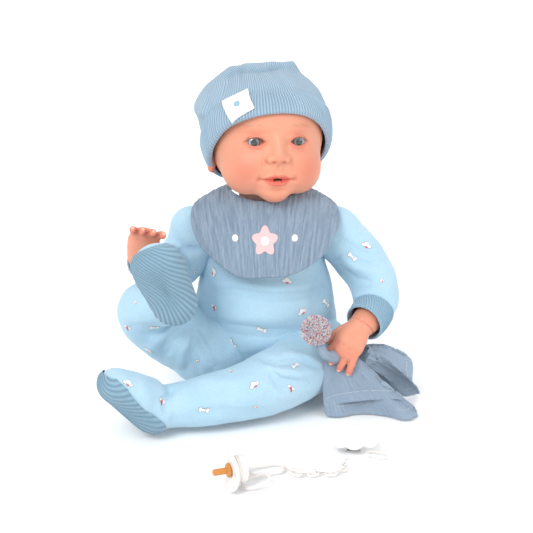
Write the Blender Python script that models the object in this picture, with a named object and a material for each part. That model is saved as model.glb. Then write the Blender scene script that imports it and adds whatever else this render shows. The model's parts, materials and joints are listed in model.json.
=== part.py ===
"""Interactive baby doll, seated: a stuffed cloth body with a sound box in its back, a vinyl head, hands and
legs, a romper, bib and beanie, a comforter cloth with a pompom, and a dummy on a chain with a clip.

Frame: metres, +Z up, the doll faces -Y, and its own left is +X. The origin is on the floor under the seat.
Places and sizes are written in millimetres through mm() and MM."""

import math

import bmesh
import bpy
from mathutils import Matrix, Vector

MM = 0.001

# Driving dimensions
CLOTH = 1.8 * MM  # thickness of the garment's jersey
GAP = 0.4 * MM  # between two pieces that lie on each other
JOINT_GAP = 1.0 * MM  # round a ball in its socket
VINYL = 3.0 * MM  # wall of the rotocast head
SLEEVE_BALL = 22.2 * MM  # outside of a sleeve at the shoulder
LEG_BALL = 32.2 * MM  # outside of a romper leg at the hip
NECK_BALL = 23.0 * MM  # outside of the cloth neck
HEAD_YAW = math.radians(9.5)  # the face looks a little to the doll's left
HEAD_PITCH = math.radians(-11.0)  # and a little up
HEAD_ROLL = math.radians(-2.0)


def mm(x, y, z):
    """A point or a size, from millimetres."""
    return Vector((x, y, z)) * MM


NECK = mm(2, 0, 156)
SHOULDER = mm(58, 0, 132.5)  # the left one; the right one is its mirror
HIP = mm(40, -22, 33.5)


def mirrored(v):
    """The same point on the doll's right side."""
    return Vector((-v.x, v.y, v.z))


# Scene and materials


def empty_scene():
    for old in list(bpy.data.objects):
        bpy.data.objects.remove(old, do_unlink=True)


def finish_of(name, colour, roughness, metallic=0.0):
    made = bpy.data.materials.new(name)
    made.use_nodes = True
    shader = made.node_tree.nodes["Principled BSDF"]
    shader.inputs["Base Color"].default_value = (*colour, 1.0)
    shader.inputs["Roughness"].default_value = roughness
    shader.inputs["Metallic"].default_value = metallic
    made.diffuse_color = (*colour, 1.0)
    return made


def finishes():
    return {
        "jersey": finish_of("jersey", (0.47, 0.72, 0.86), 0.9),
        "rib": finish_of("rib", (0.35, 0.58, 0.70), 0.9),
        "muslin": finish_of("muslin", (0.24, 0.33, 0.45), 0.95),
        "body_cloth": finish_of("body_cloth", (0.80, 0.62, 0.52), 0.95),
        "vinyl": finish_of("vinyl", (0.80, 0.45, 0.34), 0.45),
        "eye": finish_of("eye", (0.45, 0.52, 0.55), 0.1),
        "label": finish_of("label", (0.9, 0.9, 0.9), 0.8),
        "pompom_yarn": finish_of("pompom_yarn", (0.70, 0.55, 0.58), 1.0),
        "box_plastic": finish_of("box_plastic", (0.85, 0.85, 0.83), 0.4),
        "board": finish_of("board", (0.05, 0.25, 0.10), 0.5),
        "steel": finish_of("steel", (0.60, 0.60, 0.60), 0.3, 1.0),
        "cone_paper": finish_of("cone_paper", (0.08, 0.08, 0.08), 0.7),
        "white_plastic": finish_of("white_plastic", (0.92, 0.90, 0.87), 0.35),
        "teat_rubber": finish_of("teat_rubber", (0.50, 0.22, 0.05), 0.4),
        "lead_sheath": finish_of("lead_sheath", (0.10, 0.10, 0.10), 0.5),
    }


# Mesh building


def skin(rings, loop=False):
    """A closed bmesh over rings of points. A ring of one point is a pole. With loop, the last ring joins the first."""
    bm = bmesh.new()
    made = [[bm.verts.new(p) for p in ring] for ring in rings]
    pairs = list(zip(made, made[1:]))
    if loop:
        pairs.append((made[-1], made[0]))
    for low, high in pairs:
        count = max(len(low), len(high))
        for i in range(count):
            j = (i + 1) % count
            face = [low[i % len(low)], low[j % len(low)], high[j % len(high)], high[i % len(high)]]
            bm.faces.new(list(dict.fromkeys(face)))
    if not loop:
        for ring in (made[0], made[-1]):
            if len(ring) > 2:
                bm.faces.new(ring)
    bmesh.ops.recalc_face_normals(bm, faces=bm.faces)
    return bm


def ellipse(centre, across, along, sides):
    """Points of an ellipse; across and along are its half axes as vectors."""
    turn = 2 * math.pi / sides
    return [centre + across * math.cos(i * turn) + along * math.sin(i * turn) for i in range(sides)]


def bend(start, control, end, stops):
    """Points and directions along a quadratic curve, at shares between 0 and 1 of its course."""
    points = [start * (1 - t) ** 2 + control * 2 * t * (1 - t) + end * t * t for t in stops]
    ways = [((control - start) * (1 - t) + (end - control) * t).normalized() for t in stops]
    return points, ways


def tube_rings(points, radii, ways=None, sides=14, side=Vector((0, 0, 1)), domes=(True, True), dome_steps=3):
    """Rings square to a path. A radius is a number, or (towards side, across it). A dome rounds an end off."""
    radii = [r if isinstance(r, tuple) else (r, r) for r in radii]
    if ways is None:
        ways = []
        for i in range(len(points)):
            ahead = points[min(i + 1, len(points) - 1)] - points[max(i - 1, 0)]
            ways.append(ahead.normalized())
    stations = list(zip(points, ways, radii, [1.0] * len(points)))

    def dome(place, way, radius):
        bulge = min(radius)
        steps = [math.pi / 2 * k / dome_steps for k in range(1, dome_steps)]
        ends = [(place + way * bulge * math.sin(t), way, radius, math.cos(t)) for t in steps]
        return ends, place + way * bulge

    head, tail, first, last = [], [], None, None
    if domes[0]:
        head, first = dome(points[0], -ways[0], radii[0])
        head = [(p, -w, r, s) for p, w, r, s in reversed(head)]
    if domes[1]:
        tail, last = dome(points[-1], ways[-1], radii[-1])
    rings = []
    for place, way, (a, b), share in head + stations + tail:
        up = (side - way * side.dot(way)).normalized()
        rings.append(ellipse(place, up * a * share, way.cross(up) * b * share, sides))
    if first:
        rings.insert(0, [first])
    if last:
        rings.append([last])
    return rings


def tube(points, radii, **options):
    return skin(tube_rings(points, radii, **options))


def turned(profile, steps=32, loop=False):
    """A shape turned about Z from (radius, height) pairs in metres."""
    rings = []
    for r, z in profile:
        if r == 0:
            rings.append([Vector((0, 0, z))])
        else:
            rings.append(ellipse(Vector((0, 0, z)), Vector((r, 0, 0)), Vector((0, r, 0)), steps))
    return skin(rings, loop)


def ball(radius, centre=Vector(), steps=20, share=(1, 1, 1)):
    half = [(radius * math.sin(math.pi * k / (steps // 2)), -radius * math.cos(math.pi * k / (steps // 2)))
            for k in range(steps // 2 + 1)]
    half[0], half[-1] = (0, -radius), (0, radius)
    bm = turned(half, steps)
    bmesh.ops.rotate(bm, matrix=Matrix.Rotation(0.11, 3, "Z") @ Matrix.Rotation(0.07, 3, "X"), verts=bm.verts)
    bmesh.ops.scale(bm, vec=share, verts=bm.verts)
    bmesh.ops.translate(bm, vec=centre, verts=bm.verts)
    return bm


def block(size, centre=Vector(), bevel=0.0):
    bm = bmesh.new()
    bmesh.ops.create_cube(bm, size=1.0)
    bmesh.ops.scale(bm, vec=size, verts=bm.verts)
    if bevel:
        bmesh.ops.bevel(bm, geom=bm.edges, offset=bevel, segments=2, affect="EDGES", profile=0.5)
    bmesh.ops.translate(bm, vec=centre, verts=bm.verts)
    return bm


def slab(outline, low, high):
    """A flat outline of (x, y) pairs, extruded from low to high."""
    return skin([[Vector((x, y, z)) for x, y in outline] for z in (low, high)])


def oval_ring(length, width, wire, steps=16, sides=6):
    """A link: a round wire along a stadium in the XY plane."""
    straight, bend = (length - width) / 2, (width - wire) / 2
    rings = []
    for i in range(steps):
        angle = 2 * math.pi * i / steps
        out = Vector((math.cos(angle), math.sin(angle), 0))
        shift = straight if out.x > 1e-6 else -straight if out.x < -1e-6 else 0.0
        place = out * bend + Vector((shift, 0, 0))
        rings.append(ellipse(place, out * wire / 2, Vector((0, 0, wire / 2)), sides))
    return skin(rings, loop=True)


def add(name, bm, finish=None, place=None, parent=None, smooth=True):
    """Puts a bmesh into the scene as an object."""
    mesh = bpy.data.meshes.new(name)
    bm.to_mesh(mesh)
    bm.free()
    if smooth:
        mesh.shade_smooth()
        mesh.set_sharp_from_angle(angle=math.radians(35))
    made = bpy.data.objects.new(name, mesh)
    bpy.context.scene.collection.objects.link(made)
    made.parent = parent
    if place is not None:
        made.matrix_basis = place
    if finish:
        mesh.materials.append(finish)
    else:
        made.hide_render = True
        made.display_type = "WIRE"
    return made


def alter(target, bm, operation, place=None, parent=None):
    """Cuts bm out of target, or joins it on, by a Boolean with a hidden object."""
    count = sum(m.type == "BOOLEAN" for m in target.modifiers)
    tool = add(f"{target.name}.tool_{count}", bm, None, place, parent or target.parent)
    boolean = target.modifiers.new(f"{operation.lower()}_{count}", "BOOLEAN")
    boolean.operation = operation
    boolean.solver = "EXACT"
    boolean.object = tool
    return target


def cut(target, bm, place=None, parent=None):
    return alter(target, bm, "DIFFERENCE", place, parent)


def join(target, bm, place=None, parent=None):
    return alter(target, bm, "UNION", place, parent)


def frame_at(place, forward, up):
    """A matrix whose Y looks along forward and whose Z is near up."""
    y = forward.normalized()
    x = y.cross(up).normalized()
    z = x.cross(y)
    turn = Matrix((x, y, z)).transposed().to_4x4()
    return Matrix.Translation(place) @ turn


def empty_at(name, place):
    made = bpy.data.objects.new(name, None)
    bpy.context.scene.collection.objects.link(made)
    made.matrix_basis = place
    return made


# Torso, garment body and collar

# height, half width, half depth and how far the middle lies towards the back
TORSO = [
    (2.2, 44, 36, 6), (9, 53, 42, 5), (24, 58, 45, 4), (48, 58, 47, 2), (75, 55, 48, -2),
    (98, 50, 45, -3), (118, 44, 39, -2), (134, 38, 32, 0), (145, 31, 26, 0),
]
TORSO_SIDES = 22
SOUND_BOX = mm(0, 20, 72)  # middle of the sound box
BOX_SIZE = mm(56, 22, 50)
LEAD_HOLE = 2.6 * MM
LEAD_RADIUS = 1.4 * MM


def torso_bm(grow, low, high, beyond=0.0):
    rows = [[z * MM, a * MM + grow, b * MM + grow, c * MM] for z, a, b, c in TORSO]
    rows[0][0], rows[-1][0] = low, high
    if beyond:
        rows.append([high + beyond, *rows[-1][1:]])
    return skin([ellipse(Vector((0, c, z)), Vector((a, 0, 0)), Vector((0, b, 0)), TORSO_SIDES) for z, a, b, c in rows])


def socket_cuts(target):
    """The rooms for the neck, shoulder and hip balls, and where the limbs press into the body."""
    for word in ("right", "left"):
        for swing in (0, 11, 23):
            centre = Matrix.Translation(ARMS[word][0])
            swung = centre @ Matrix.Rotation(math.radians(-swing), 4, "X") @ centre.inverted()
            cut(target, sleeve_form(word, (0.12, *SLEEVE_STOPS[1:]), 2.3), swung)
        for swing in (0, HIP_SWINGS[word]):
            centre = Matrix.Translation(LEGS[word][0])
            swung = centre @ Matrix.Rotation(math.radians(swing), 4, HIP_AXES[word]) @ centre.inverted()
            cut(target, leg_form(word, LEG_STOPS[:5], 1.2, (False, False)), swung)
    cut(target, ball(NECK_BALL + JOINT_GAP, NECK, 20))
    for centre in (SHOULDER, mirrored(SHOULDER)):
        cut(target, ball(SLEEVE_BALL + 1.9 * JOINT_GAP, centre, 16))
    for centre in (HIP, mirrored(HIP)):
        cut(target, ball(LEG_BALL + JOINT_GAP, centre, 18))


def torso(look):
    body = add("cloth_torso", torso_bm(0, CLOTH + GAP, 145 * MM), look["body_cloth"])
    socket_cuts(body)
    room = BOX_SIZE + Vector((1, 0, 1)) * 2 * MM
    room.y = 90 * MM
    front = SOUND_BOX.y - BOX_SIZE.y / 2 - GAP
    cut(body, block(room, Vector((SOUND_BOX.x, front + room.y / 2, SOUND_BOX.z)), 0))
    cut(body, tube(lead_route(), [LEAD_HOLE] * len(lead_route()), sides=10, side=Vector((1, 0, 0)), domes=(False, False)))
    suit = add("romper_torso", torso_bm(CLOTH + GAP, 0, 148 * MM), look["jersey"])
    cut(suit, torso_bm(GAP, CLOTH, 148 * MM, 12 * MM))
    socket_cuts(suit)
    collar = [(26.2, 149.0), (26.0, 157.2), (28.4, 157.2), (31.2, 149.0)]
    collar = [(r * MM, z * MM - NECK.z) for r, z in collar]
    add("romper_collar", turned(collar, 24, loop=True), look["rib"], Matrix.Translation(NECK))
    strip = [ellipse_arc(TORSO_BACK + 0.3 * MM), ellipse_arc(TORSO_BACK + 2.1 * MM)]
    outline = strip[0] + strip[1][::-1]
    add("romper_back_strip", skin([[Vector((x, y, z)) for x, y in outline] for z in (30 * MM, 92 * MM)]), look["jersey"])


TORSO_BACK = 52.4 * MM  # depth of the romper's back, where the closing strip lies
STRIP_HALF = 9 * MM


def ellipse_arc(depth):
    """Points across the closing strip, on a shallow arc."""
    return [(x * STRIP_HALF / 3, depth - (x * STRIP_HALF / 3) ** 2 / (2 * 62 * MM)) for x in range(-3, 4)]


# Sound box


def lead_route():
    """The sensor lead from the sound box up to the neck."""
    points = [(14, 20, 98.2), (13, 20, 106), (8, 14, 120), (3, 4, 130)]
    return [mm(*p) for p in points] + [NECK - Vector((0, 0, NECK_BALL + 1.6 * MM))]


def sound_box(look):
    half = BOX_SIZE.y / 2
    wall = 1.6 * MM
    place = Matrix.Translation(SOUND_BOX)
    seam = 0.15 * MM
    shell = BOX_SIZE - Vector((0, half + seam, 0))
    room = shell - Vector((2 * wall, 0, 2 * wall))
    front = add("sound_box_front", block(shell, Vector((0, -half / 2 - seam / 2, 0)), 1.5 * MM), look["box_plastic"], place)
    cut(front, block(room, Vector((0, -half / 2 + wall, 0))), place)
    for row in range(-1, 2):
        for column in range(-1, 2):
            hole = turned([(1.4 * MM, -2 * wall), (1.4 * MM, 2 * wall)], 6)
            spot = Vector((column * 6 * MM - 8 * MM, -half, row * 6 * MM))
            cut(front, hole, place @ Matrix.Translation(spot) @ Matrix.Rotation(math.pi / 2, 4, "X"))
    rear = add("sound_box_rear", block(shell, Vector((0, half / 2 + seam / 2, 0)), 1.5 * MM), look["box_plastic"], place)
    cut(rear, block(room, Vector((0, half / 2 - wall, 0))), place)
    cut(rear, block(DOOR_BAY, Vector((0, half, DOOR_Z)), 0), place)
    cut(rear, block(mm(9, 12, 4.6), Vector((18 * MM, half, SWITCH_Z)), 0), place)
    cut(rear, turned([(2.0 * MM, -4 * MM), (2.0 * MM, 4 * MM)], 10),
        place @ Matrix.Translation((14 * MM, 0, BOX_SIZE.z / 2)))
    cut(front, turned([(2.0 * MM, -4 * MM), (2.0 * MM, 4 * MM)], 10),
        place @ Matrix.Translation((14 * MM, 0, BOX_SIZE.z / 2)))
    add("battery_door", block(DOOR, Vector((0, half - DOOR.y / 2, DOOR_Z)), 0.5 * MM), look["box_plastic"], place)
    add("power_switch", block(mm(5, 3.6, 3.6), Vector((16.4 * MM, half - 0.6 * MM, SWITCH_Z)), 0.4 * MM),
        look["cone_paper"], place)
    cell = [(0, 0), (5.8 * MM, 0), (5.8 * MM, 4.6 * MM), (4.8 * MM, 5.4 * MM), (0, 5.4 * MM)]
    for n in range(3):
        spot = Vector(((n - 1) * 12.4 * MM, half - DOOR.y - 6.4 * MM, DOOR_Z))
        add(f"button_cell_{n + 1}", turned(cell, 16), look["steel"],
            place @ Matrix.Translation(spot) @ Matrix.Rotation(-math.pi / 2, 4, "X"))
    strip = block(mm(37, 0.5, 5), Vector((0, half - DOOR.y - 7.2 * MM, DOOR_Z)))
    add("contact_strip", strip, look["steel"], place)
    add("circuit_board", block(mm(50, 1.6, 24), Vector((0, 1.0 * MM, 10 * MM))), look["board"], place)
    chassis = [(0, 4.2), (7.5, 4.2), (7.5, 1.2), (13.6, -2.4), (13.6, -4.0), (11.8, -4.0), (11.4, -2.4), (0, 1.8)]
    speaker_at = place @ Matrix.Translation((-8 * MM, -4.6 * MM, 0)) @ Matrix.Rotation(-math.pi / 2, 4, "X")
    add("speaker", turned([(r * MM, z * MM) for r, z in chassis], 20), look["steel"], speaker_at)
    cone = [(0, 0.9), (4.0, 0.0), (10.6, -2.9), (10.6, -3.5), (4.0, -0.6), (0, 0.2)]
    add("speaker_cone", turned([(r * MM, z * MM) for r, z in cone], 20), look["cone_paper"], speaker_at)
    route = lead_route()
    add("sensor_lead", tube(route, [LEAD_RADIUS] * len(route), sides=8, side=Vector((1, 0, 0)), domes=(False, False)),
        look["lead_sheath"])


DOOR = mm(42, 2.0, 16)
DOOR_BAY = mm(42.8, 6, 23)  # longer than the door, so that it can slide
DOOR_Z = -11 * MM
SWITCH_Z = 14 * MM


# Head. Its own frame has its origin at the neck joint, Z up the neck and the face towards -Y.

# height over the neck joint, half width, half depth and how far the middle lies towards the back
SKULL = [
    (19, 20, 22, 0), (25, 33, 37, -7), (34, 40, 45, -6), (46, 44, 50, -3), (58, 47, 54, 1), (70, 48, 56, 3),
    (82, 48, 55.5, 4), (94, 44, 50, 5), (104, 35, 40, 6), (110, 22, 26, 6), (113, 8, 10, 6),
]
SKULL_SIDES = 24
EYE = mm(18.2, -41.0, 61)
EYE_RADIUS = 8.2 * MM
MOUTH = mm(0, -48, 31)
MOUTH_HOLE = 3.9  # mm, radius; the teat goes in here


def skull_bm(shrink=0.0):
    """The head's form, smaller by shrink for its hollow, or larger for what is worn on it."""
    rows = [[z * MM, a * MM - shrink, b * MM - shrink, c * MM] for z, a, b, c in SKULL]
    if shrink > 0:
        rows = rows[1:-1]
        rows[0][0] += shrink
        rows[-1][0] -= shrink / 2
    elif shrink < 0:
        rows[0][0] += 2 * shrink
        rows[-1][0] -= shrink
    rings = [ellipse(Vector((0, c, z)), Vector((a, 0, 0)), Vector((0, b, 0)), SKULL_SIDES) for z, a, b, c in rows]
    return skin(rings)


def head(look, pose):
    shell = add("head_shell", skull_bm(), look["vinyl"], None, pose)
    neck = [(18.0, 3.6), (18.0, 30), (0, 30)]
    join(shell, turned([(0, 3.6 * MM)] + [(r * MM, z * MM) for r, z in neck], SKULL_SIDES))
    join(shell, ball(7.5 * MM, mm(0, -51.5, 48), 10))
    for side in (-1, 1):
        join(shell, ball(20 * MM, mm(19 * side, -30, 40), 14))
        join(shell, ball(1.0, Vector(), 10, EAR), ear_place(side))
    join(shell, ball(14 * MM, mm(0, -38, 25), 12))
    cut(shell, skull_bm(VINYL))
    cut(shell, turned([(15 * MM, -5 * MM), (15 * MM, 34 * MM)], 24))
    for side in (-1, 1):
        eye = Vector((EYE.x * side, EYE.y, EYE.z))
        cut(shell, ball(EYE_RADIUS + GAP, eye, 14))
        word = "left" if side > 0 else "right"
        add(f"eye_{word}", ball(EYE_RADIUS, eye, 14), look["eye"], None, pose)
        cup = [(0, 10.4), (4.3, 9.6), (8.2, 7.2), (9.7, 4.6), (8.5, 4.2), (7.2, 6.0), (3.6, 8.4), (0, 9.1)]
        cup = turned([(r * MM, z * MM) for r, z in cup], 14)
        add(f"eye_cup_{word}", cup, look["white_plastic"],
            Matrix.Translation(eye) @ Matrix.Rotation(-math.pi / 2, 4, "X"), pose)
    bore = Matrix.Translation(MOUTH) @ Matrix.Rotation(math.pi / 2, 4, "X")
    mouth_hole = turned([(MOUTH_HOLE * MM, -14 * MM), (MOUTH_HOLE * MM, 14 * MM)], 16)
    cut(shell, mouth_hole, bore)
    pocket = [(0, -13.4), (5.6, -13.4), (5.6, -2), (MOUTH_HOLE, -2), (MOUTH_HOLE, -12), (0, -12)]
    place = Matrix.Translation(MOUTH + mm(0, 7, 0)) @ Matrix.Rotation(math.pi / 2, 4, "X")
    inner = turned([(r * MM, z * MM) for r, z in pocket], 14)
    add("mouth_sensor", inner, look["box_plastic"], place, pose)
    ease = turned([(5.6 * MM + GAP, -14 * MM), (5.6 * MM + GAP, -1.4 * MM)], 14)
    cut(shell, ease, place)


def neck(look, tilt):
    """The cloth neck and its tie. They tilt with the head and don't turn with it."""
    curve = [math.radians(a) for a in (-90, -70, -50, -30, -12, 8, 20)]
    outer = [(NECK_BALL * math.cos(a), NECK_BALL * math.sin(a)) for a in curve]
    outer[0] = (4.5 * MM, -22.4 * MM)
    casing = outer + [(21.0 * MM, 14 * MM), (18.4 * MM, 14 * MM), (18.4 * MM, 2.8 * MM), (4.5 * MM, 2.8 * MM)]
    add("neck_sleeve", turned(casing, 24, loop=True), look["body_cloth"], None, tilt)
    tie = [(21.6, 9.4), (23.0, 9.4), (23.0, 12.4), (21.6, 12.4)]
    band = add("neck_tie", turned([(r * MM, z * MM) for r, z in tie], 24, loop=True), look["white_plastic"], None, tilt)
    join(band, block(mm(6, 3, 3.4), mm(0, 23.7, 10.9), 0.4 * MM))


# Beanie. It rides on the head and shares its frame.

HAT_CLOTH = 2.4 * MM
HAT_TILT = math.radians(-36)  # the rim is high over the brow and low at the nape
HAT_FOOT = 43 * MM  # height of the rim over the neck joint, at the middle of the head
CUFF_HEIGHT = 20 * MM
EAR = Vector((0.0045, 0.009, 0.014))


def ear_place(side):
    return Matrix.Translation(mm(46.5 * side, 3, 44)) @ Matrix.Rotation(0.35 * side, 4, "Z")


def hat(look, pose):
    """The crown reaches down to the rim, and the cuff is the part folded up outside it."""
    layer = HAT_CLOTH + GAP
    rim = Matrix.Translation((0, 0, HAT_FOOT)) @ Matrix.Rotation(HAT_TILT, 4, "X")
    below = mm(240, 300, 200)
    crown = add("hat_crown", skull_bm(-layer), look["rib"], None, pose)
    for side in (-1, 1):
        corner = ball(1.0, Vector(), 12, (0.022, 0.013, 0.015))
        join(crown, corner, Matrix.Translation(mm(22 * side, 7, 107)) @ Matrix.Rotation(0.5 * side, 4, "Y"))
    cut(crown, skull_bm(-GAP))
    cut(crown, block(below, Vector((0, 0, -below.z / 2))), rim)
    cuff = add("hat_cuff", skull_bm(-2 * layer), look["rib"], None, pose)
    cut(cuff, skull_bm(-layer - GAP))
    cut(cuff, block(below, Vector((0, 0, 0.8 * MM - below.z / 2))), rim)
    cut(cuff, block(below, Vector((0, 0, CUFF_HEIGHT + below.z / 2))), rim)
    for side in (-1, 1):
        for layer_of_hat in (crown, cuff):
            cut(layer_of_hat, ball(1.0, Vector(), 10, EAR + Vector((1, 1, 1)) * 0.5 * MM), ear_place(side))
    tag = add("hat_label", skull_bm(-2 * layer - 1.1 * MM), look["label"], None, pose)
    cut(tag, skull_bm(-2 * layer - 0.3 * MM))
    out = Vector((-0.52, -0.74, 0.43)).normalized()
    spot = frame_at(mm(-27, -45, 92), Vector((0, 0.4, 0.9)), out)
    alter(tag, block(mm(22, 22, 30)), "INTERSECT", spot)


# Arms


def hand_bm_pieces(curl, spread):
    """Palm and fingers in the hand's own frame: origin at the wrist, fingers along Y, back of the hand +Z."""
    spots = [mm(0, -1, 0), mm(0, 9, 0.5), mm(0, 20, 1), mm(0, 29, 0.6)]
    halves = [(10.8, 11.4), (8.8, 13.8), (8.2, 15), (6.6, 13)]
    palm = tube(spots, [(a * MM, b * MM) for a, b in halves], sides=12, dome_steps=2)
    fingers = []
    lengths = (17, 19, 17.5, 14)
    for n, length in enumerate(lengths):
        x = (n - 1.5) * 7.0
        lean = (n - 1.5) * spread
        root = mm(x, 27, 0.5)
        points = [root]
        angle = 0.0
        for share in (0.40, 0.34, 0.26):
            angle += curl
            step = length * share
            points.append(points[-1] + mm(step * math.sin(lean), step * math.cos(angle), -step * math.sin(angle)))
        fingers.append(tube(points, [4.1 * MM, 4.0 * MM, 3.8 * MM, 3.3 * MM], sides=6, dome_steps=2, side=Vector((1, 0, 0))))
    return palm, fingers


def thumb_bm(hand_side):
    points = [mm(-10 * hand_side, 8, -2), mm(-15.5 * hand_side, 16, -5), mm(-16.5 * hand_side, 25, -8)]
    return tube(points, [4.8 * MM, 4.4 * MM, 3.6 * MM], sides=6, dome_steps=2)


def vinyl_hand(name, look, place, curl=0.3, spread=0.10, hand_side=1):
    palm, fingers = hand_bm_pieces(curl, spread)
    made = add(name, palm, look["vinyl"], place)
    for finger in fingers:
        join(made, finger, place)
    join(made, thumb_bm(hand_side), place)
    return made


# shoulder, the point that draws the curve towards the elbow, wrist
ARMS = {
    "right": (mirrored(SHOULDER), mm(-72, -4, 86), mm(-101, -56, 139)),
    "left": (SHOULDER, mm(112, -4, 82), mm(82, -51, 82)),
}
SLEEVE_STOPS = (0, 0.22, 0.42, 0.58, 0.74)
SLEEVE_RADII = (20.4, 20.6, 20, 18.4, 16.6)


def arm_form(word, stops, radii, sides=14, domes=(False, False)):
    points, ways = bend(*ARMS[word], stops)
    return tube(points, [r * MM for r in radii], ways=ways, sides=sides, side=Vector((0, 1, 0)), domes=domes)


def sleeve_form(word, stops, grow=0.0):
    """The sleeve's tube, or the tube of the room in it."""
    radii = [r + grow for r in SLEEVE_RADII] + [SLEEVE_RADII[-1] + grow - 0.4]
    return arm_form(word, stops, radii[: len(stops)])


def arm(word, look, hand_place, hand_side):
    """One arm: stuffed upper arm, vinyl forearm and hand, sleeve and cuff."""
    shoulder = ARMS[word][0]
    ball_radius = SLEEVE_BALL - CLOTH - GAP
    upper = add(f"cloth_arm_{word}", ball(ball_radius, shoulder, 14), look["body_cloth"])
    join(upper, arm_form(word, (0, 0.18, 0.36, 0.52), (16.8, 16.6, 15.8, 14.2)))
    hand = vinyl_hand(f"vinyl_hand_{word}", look, hand_place, hand_side=hand_side)
    join(hand, arm_form(word, (0.54, 0.7, 0.85, 0.99), (13.4, 12.4, 11.6, 10.8), domes=(False, True)))
    sleeve = add(f"romper_sleeve_{word}", ball(SLEEVE_BALL, shoulder, 16), look["jersey"])
    join(sleeve, sleeve_form(word, SLEEVE_STOPS))
    inward = Vector((-shoulder.x, 0, 6 * MM)).normalized()
    room = [shoulder + inward * 2 * SLEEVE_BALL, shoulder]
    cut(sleeve, tube(room, [17.4 * MM] * 2, sides=12, domes=(False, False)))
    cut(sleeve, ball(ball_radius + GAP, shoulder, 14))
    cut(sleeve, sleeve_form(word, SLEEVE_STOPS + (0.82,), -1.8))
    cuff = add(f"romper_cuff_{word}", arm_form(word, (0.755, 0.86, 0.94), (16.8, 16.2, 15.4), 16), look["rib"])
    cut(cuff, arm_form(word, (0.7, 0.86, 1.0), (14.4, 13.8, 13.0), 16))


def arms(look):
    wrist = ARMS["right"][2]
    arm("right", look, frame_at(wrist, Vector((0.25, -0.44, 0.86)), Vector((0.05, 0.88, 0.46))), 1)
    wrist = ARMS["left"][2]
    arm("left", look, frame_at(wrist, Vector((-0.42, -0.50, -0.70)), Vector((0.10, -0.85, 0.50))), -1)


# Legs


# hip, the point that draws the curve towards the knee, ankle, then the middle of the heel and of the toes
LEGS = {
    "right": (mirrored(HIP), mm(-134, -38, 84), mm(-76, -70, 98), mm(-72, -84, 106), mm(-86, -93, 146)),
    "left": (HIP, mm(20, -98, 34), mm(-80, -101, 21), mm(-88, -109, 23), mm(-113, -119, 53)),
}
SOLE_WAYS = {"right": Vector((0.10, -0.985, -0.06)), "left": Vector((-0.70, -0.42, -0.58))}
LEG_STOPS = (0, 0.2, 0.4, 0.55, 0.7, 0.85, 1)
LEG_RADII = (27, 26, 24.5, 23, 21, 18.6, 16.5)
HIP_SWINGS = {"right": 15, "left": 10}  # degrees that the raised leg lowers, and the other one rises
HIP_AXES = {"right": Vector((1, 0, 0)), "left": Vector((-0.536, 0.845, 0)).normalized()}


def leg_form(word, stops, grow=0.0, domes=(False, True)):
    points, ways = bend(*LEGS[word][:3], stops)
    radii = [(r + grow) * MM for r in LEG_RADII[: len(stops)]]
    return tube(points, radii, ways=ways, side=Vector((0, 1, 0)), domes=domes)


def foot_form(word, grow):
    """A chubby foot: rings from the heel to the toes, level on the sole's side."""
    heel, toe = LEGS[word][3:]
    down = SOLE_WAYS[word]
    halves = [(15.0, 14.5), (15.0, 15.0), (12.5, 16.5), (9.5, 15.0)]
    spots = [heel.lerp(toe, share) + down * (15 - a) * MM for share, (a, _) in zip((0, 0.35, 0.72, 1), halves)]
    return tube(spots, [((a + grow) * MM, (b + grow) * MM) for a, b in halves], sides=12, side=down, dome_steps=2)


def leg(word, look):
    """One leg: stuffed thigh, vinyl lower leg and foot, romper leg with its foot, and the ribbed sole."""
    hip, _, _, heel, toe = LEGS[word]
    ball_radius = LEG_BALL - CLOTH - GAP
    points, ways = bend(*LEGS[word][:3], (0, 0.2, 0.4))
    thigh = add(f"cloth_leg_{word}", ball(ball_radius, hip, 16), look["body_cloth"])
    join(thigh, tube(points, [24.5 * MM, 23.5 * MM, 21.5 * MM], ways=ways, side=Vector((0, 1, 0)), domes=(False, False)))
    points, ways = bend(*LEGS[word][:3], (0.42, 0.55, 0.7, 0.85, 1))
    radii = [20 * MM, 19 * MM, 17 * MM, 14.8 * MM, 13 * MM]
    shin = add(f"vinyl_leg_{word}", tube(points, radii, ways=ways, side=Vector((0, 1, 0)), domes=(False, True)), look["vinyl"])
    join(shin, foot_form(word, 0))
    suit = add(f"romper_leg_{word}", ball(LEG_BALL, hip, 18), look["jersey"])
    join(suit, leg_form(word, LEG_STOPS))
    join(suit, foot_form(word, 3.8))
    inward = Vector((-hip.x, 30 * MM, 20 * MM)).normalized()
    room = [hip + inward * 2 * LEG_BALL, hip]
    cut(suit, tube(room, [24 * MM] * 2, domes=(False, False)))
    cut(suit, ball(ball_radius + GAP, hip, 16))
    cut(suit, leg_form(word, LEG_STOPS, -1.8))
    cut(suit, foot_form(word, 2))
    base = frame_at(heel.lerp(toe, 0.5), toe - heel, SOLE_WAYS[word])
    turns = [2 * math.pi * k / 20 for k in range(20)]
    patch = [(13 * math.sin(t) * MM, 32 * math.cos(t) * MM) for t in turns]
    cut(suit, slab([(x * 1.04, y * 1.02) for x, y in patch], 2 * MM, 40 * MM), base)
    sole = add(f"romper_sole_{word}", foot_form(word, 4.6), look["rib"])
    cut(sole, foot_form(word, 2))
    alter(sole, slab(patch, 2.5 * MM, 39 * MM), "INTERSECT", base)


def legs(look):
    for word in ("right", "left"):
        leg(word, look)


# Bib


def bib_edge(turn):
    """The bib's outer edge for a turn from the front: distance from the neck's axis, and height."""
    front = math.cos(turn)
    share = max(0.0, front)
    distance = 57 + 9 * share + 7 * math.sin(2 * abs(turn)) * (1 if front > 0 else 0.4) - 11 * max(0.0, -front)
    height = 157.5 - 39 * share ** 1.6
    return distance * MM, height * MM


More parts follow.
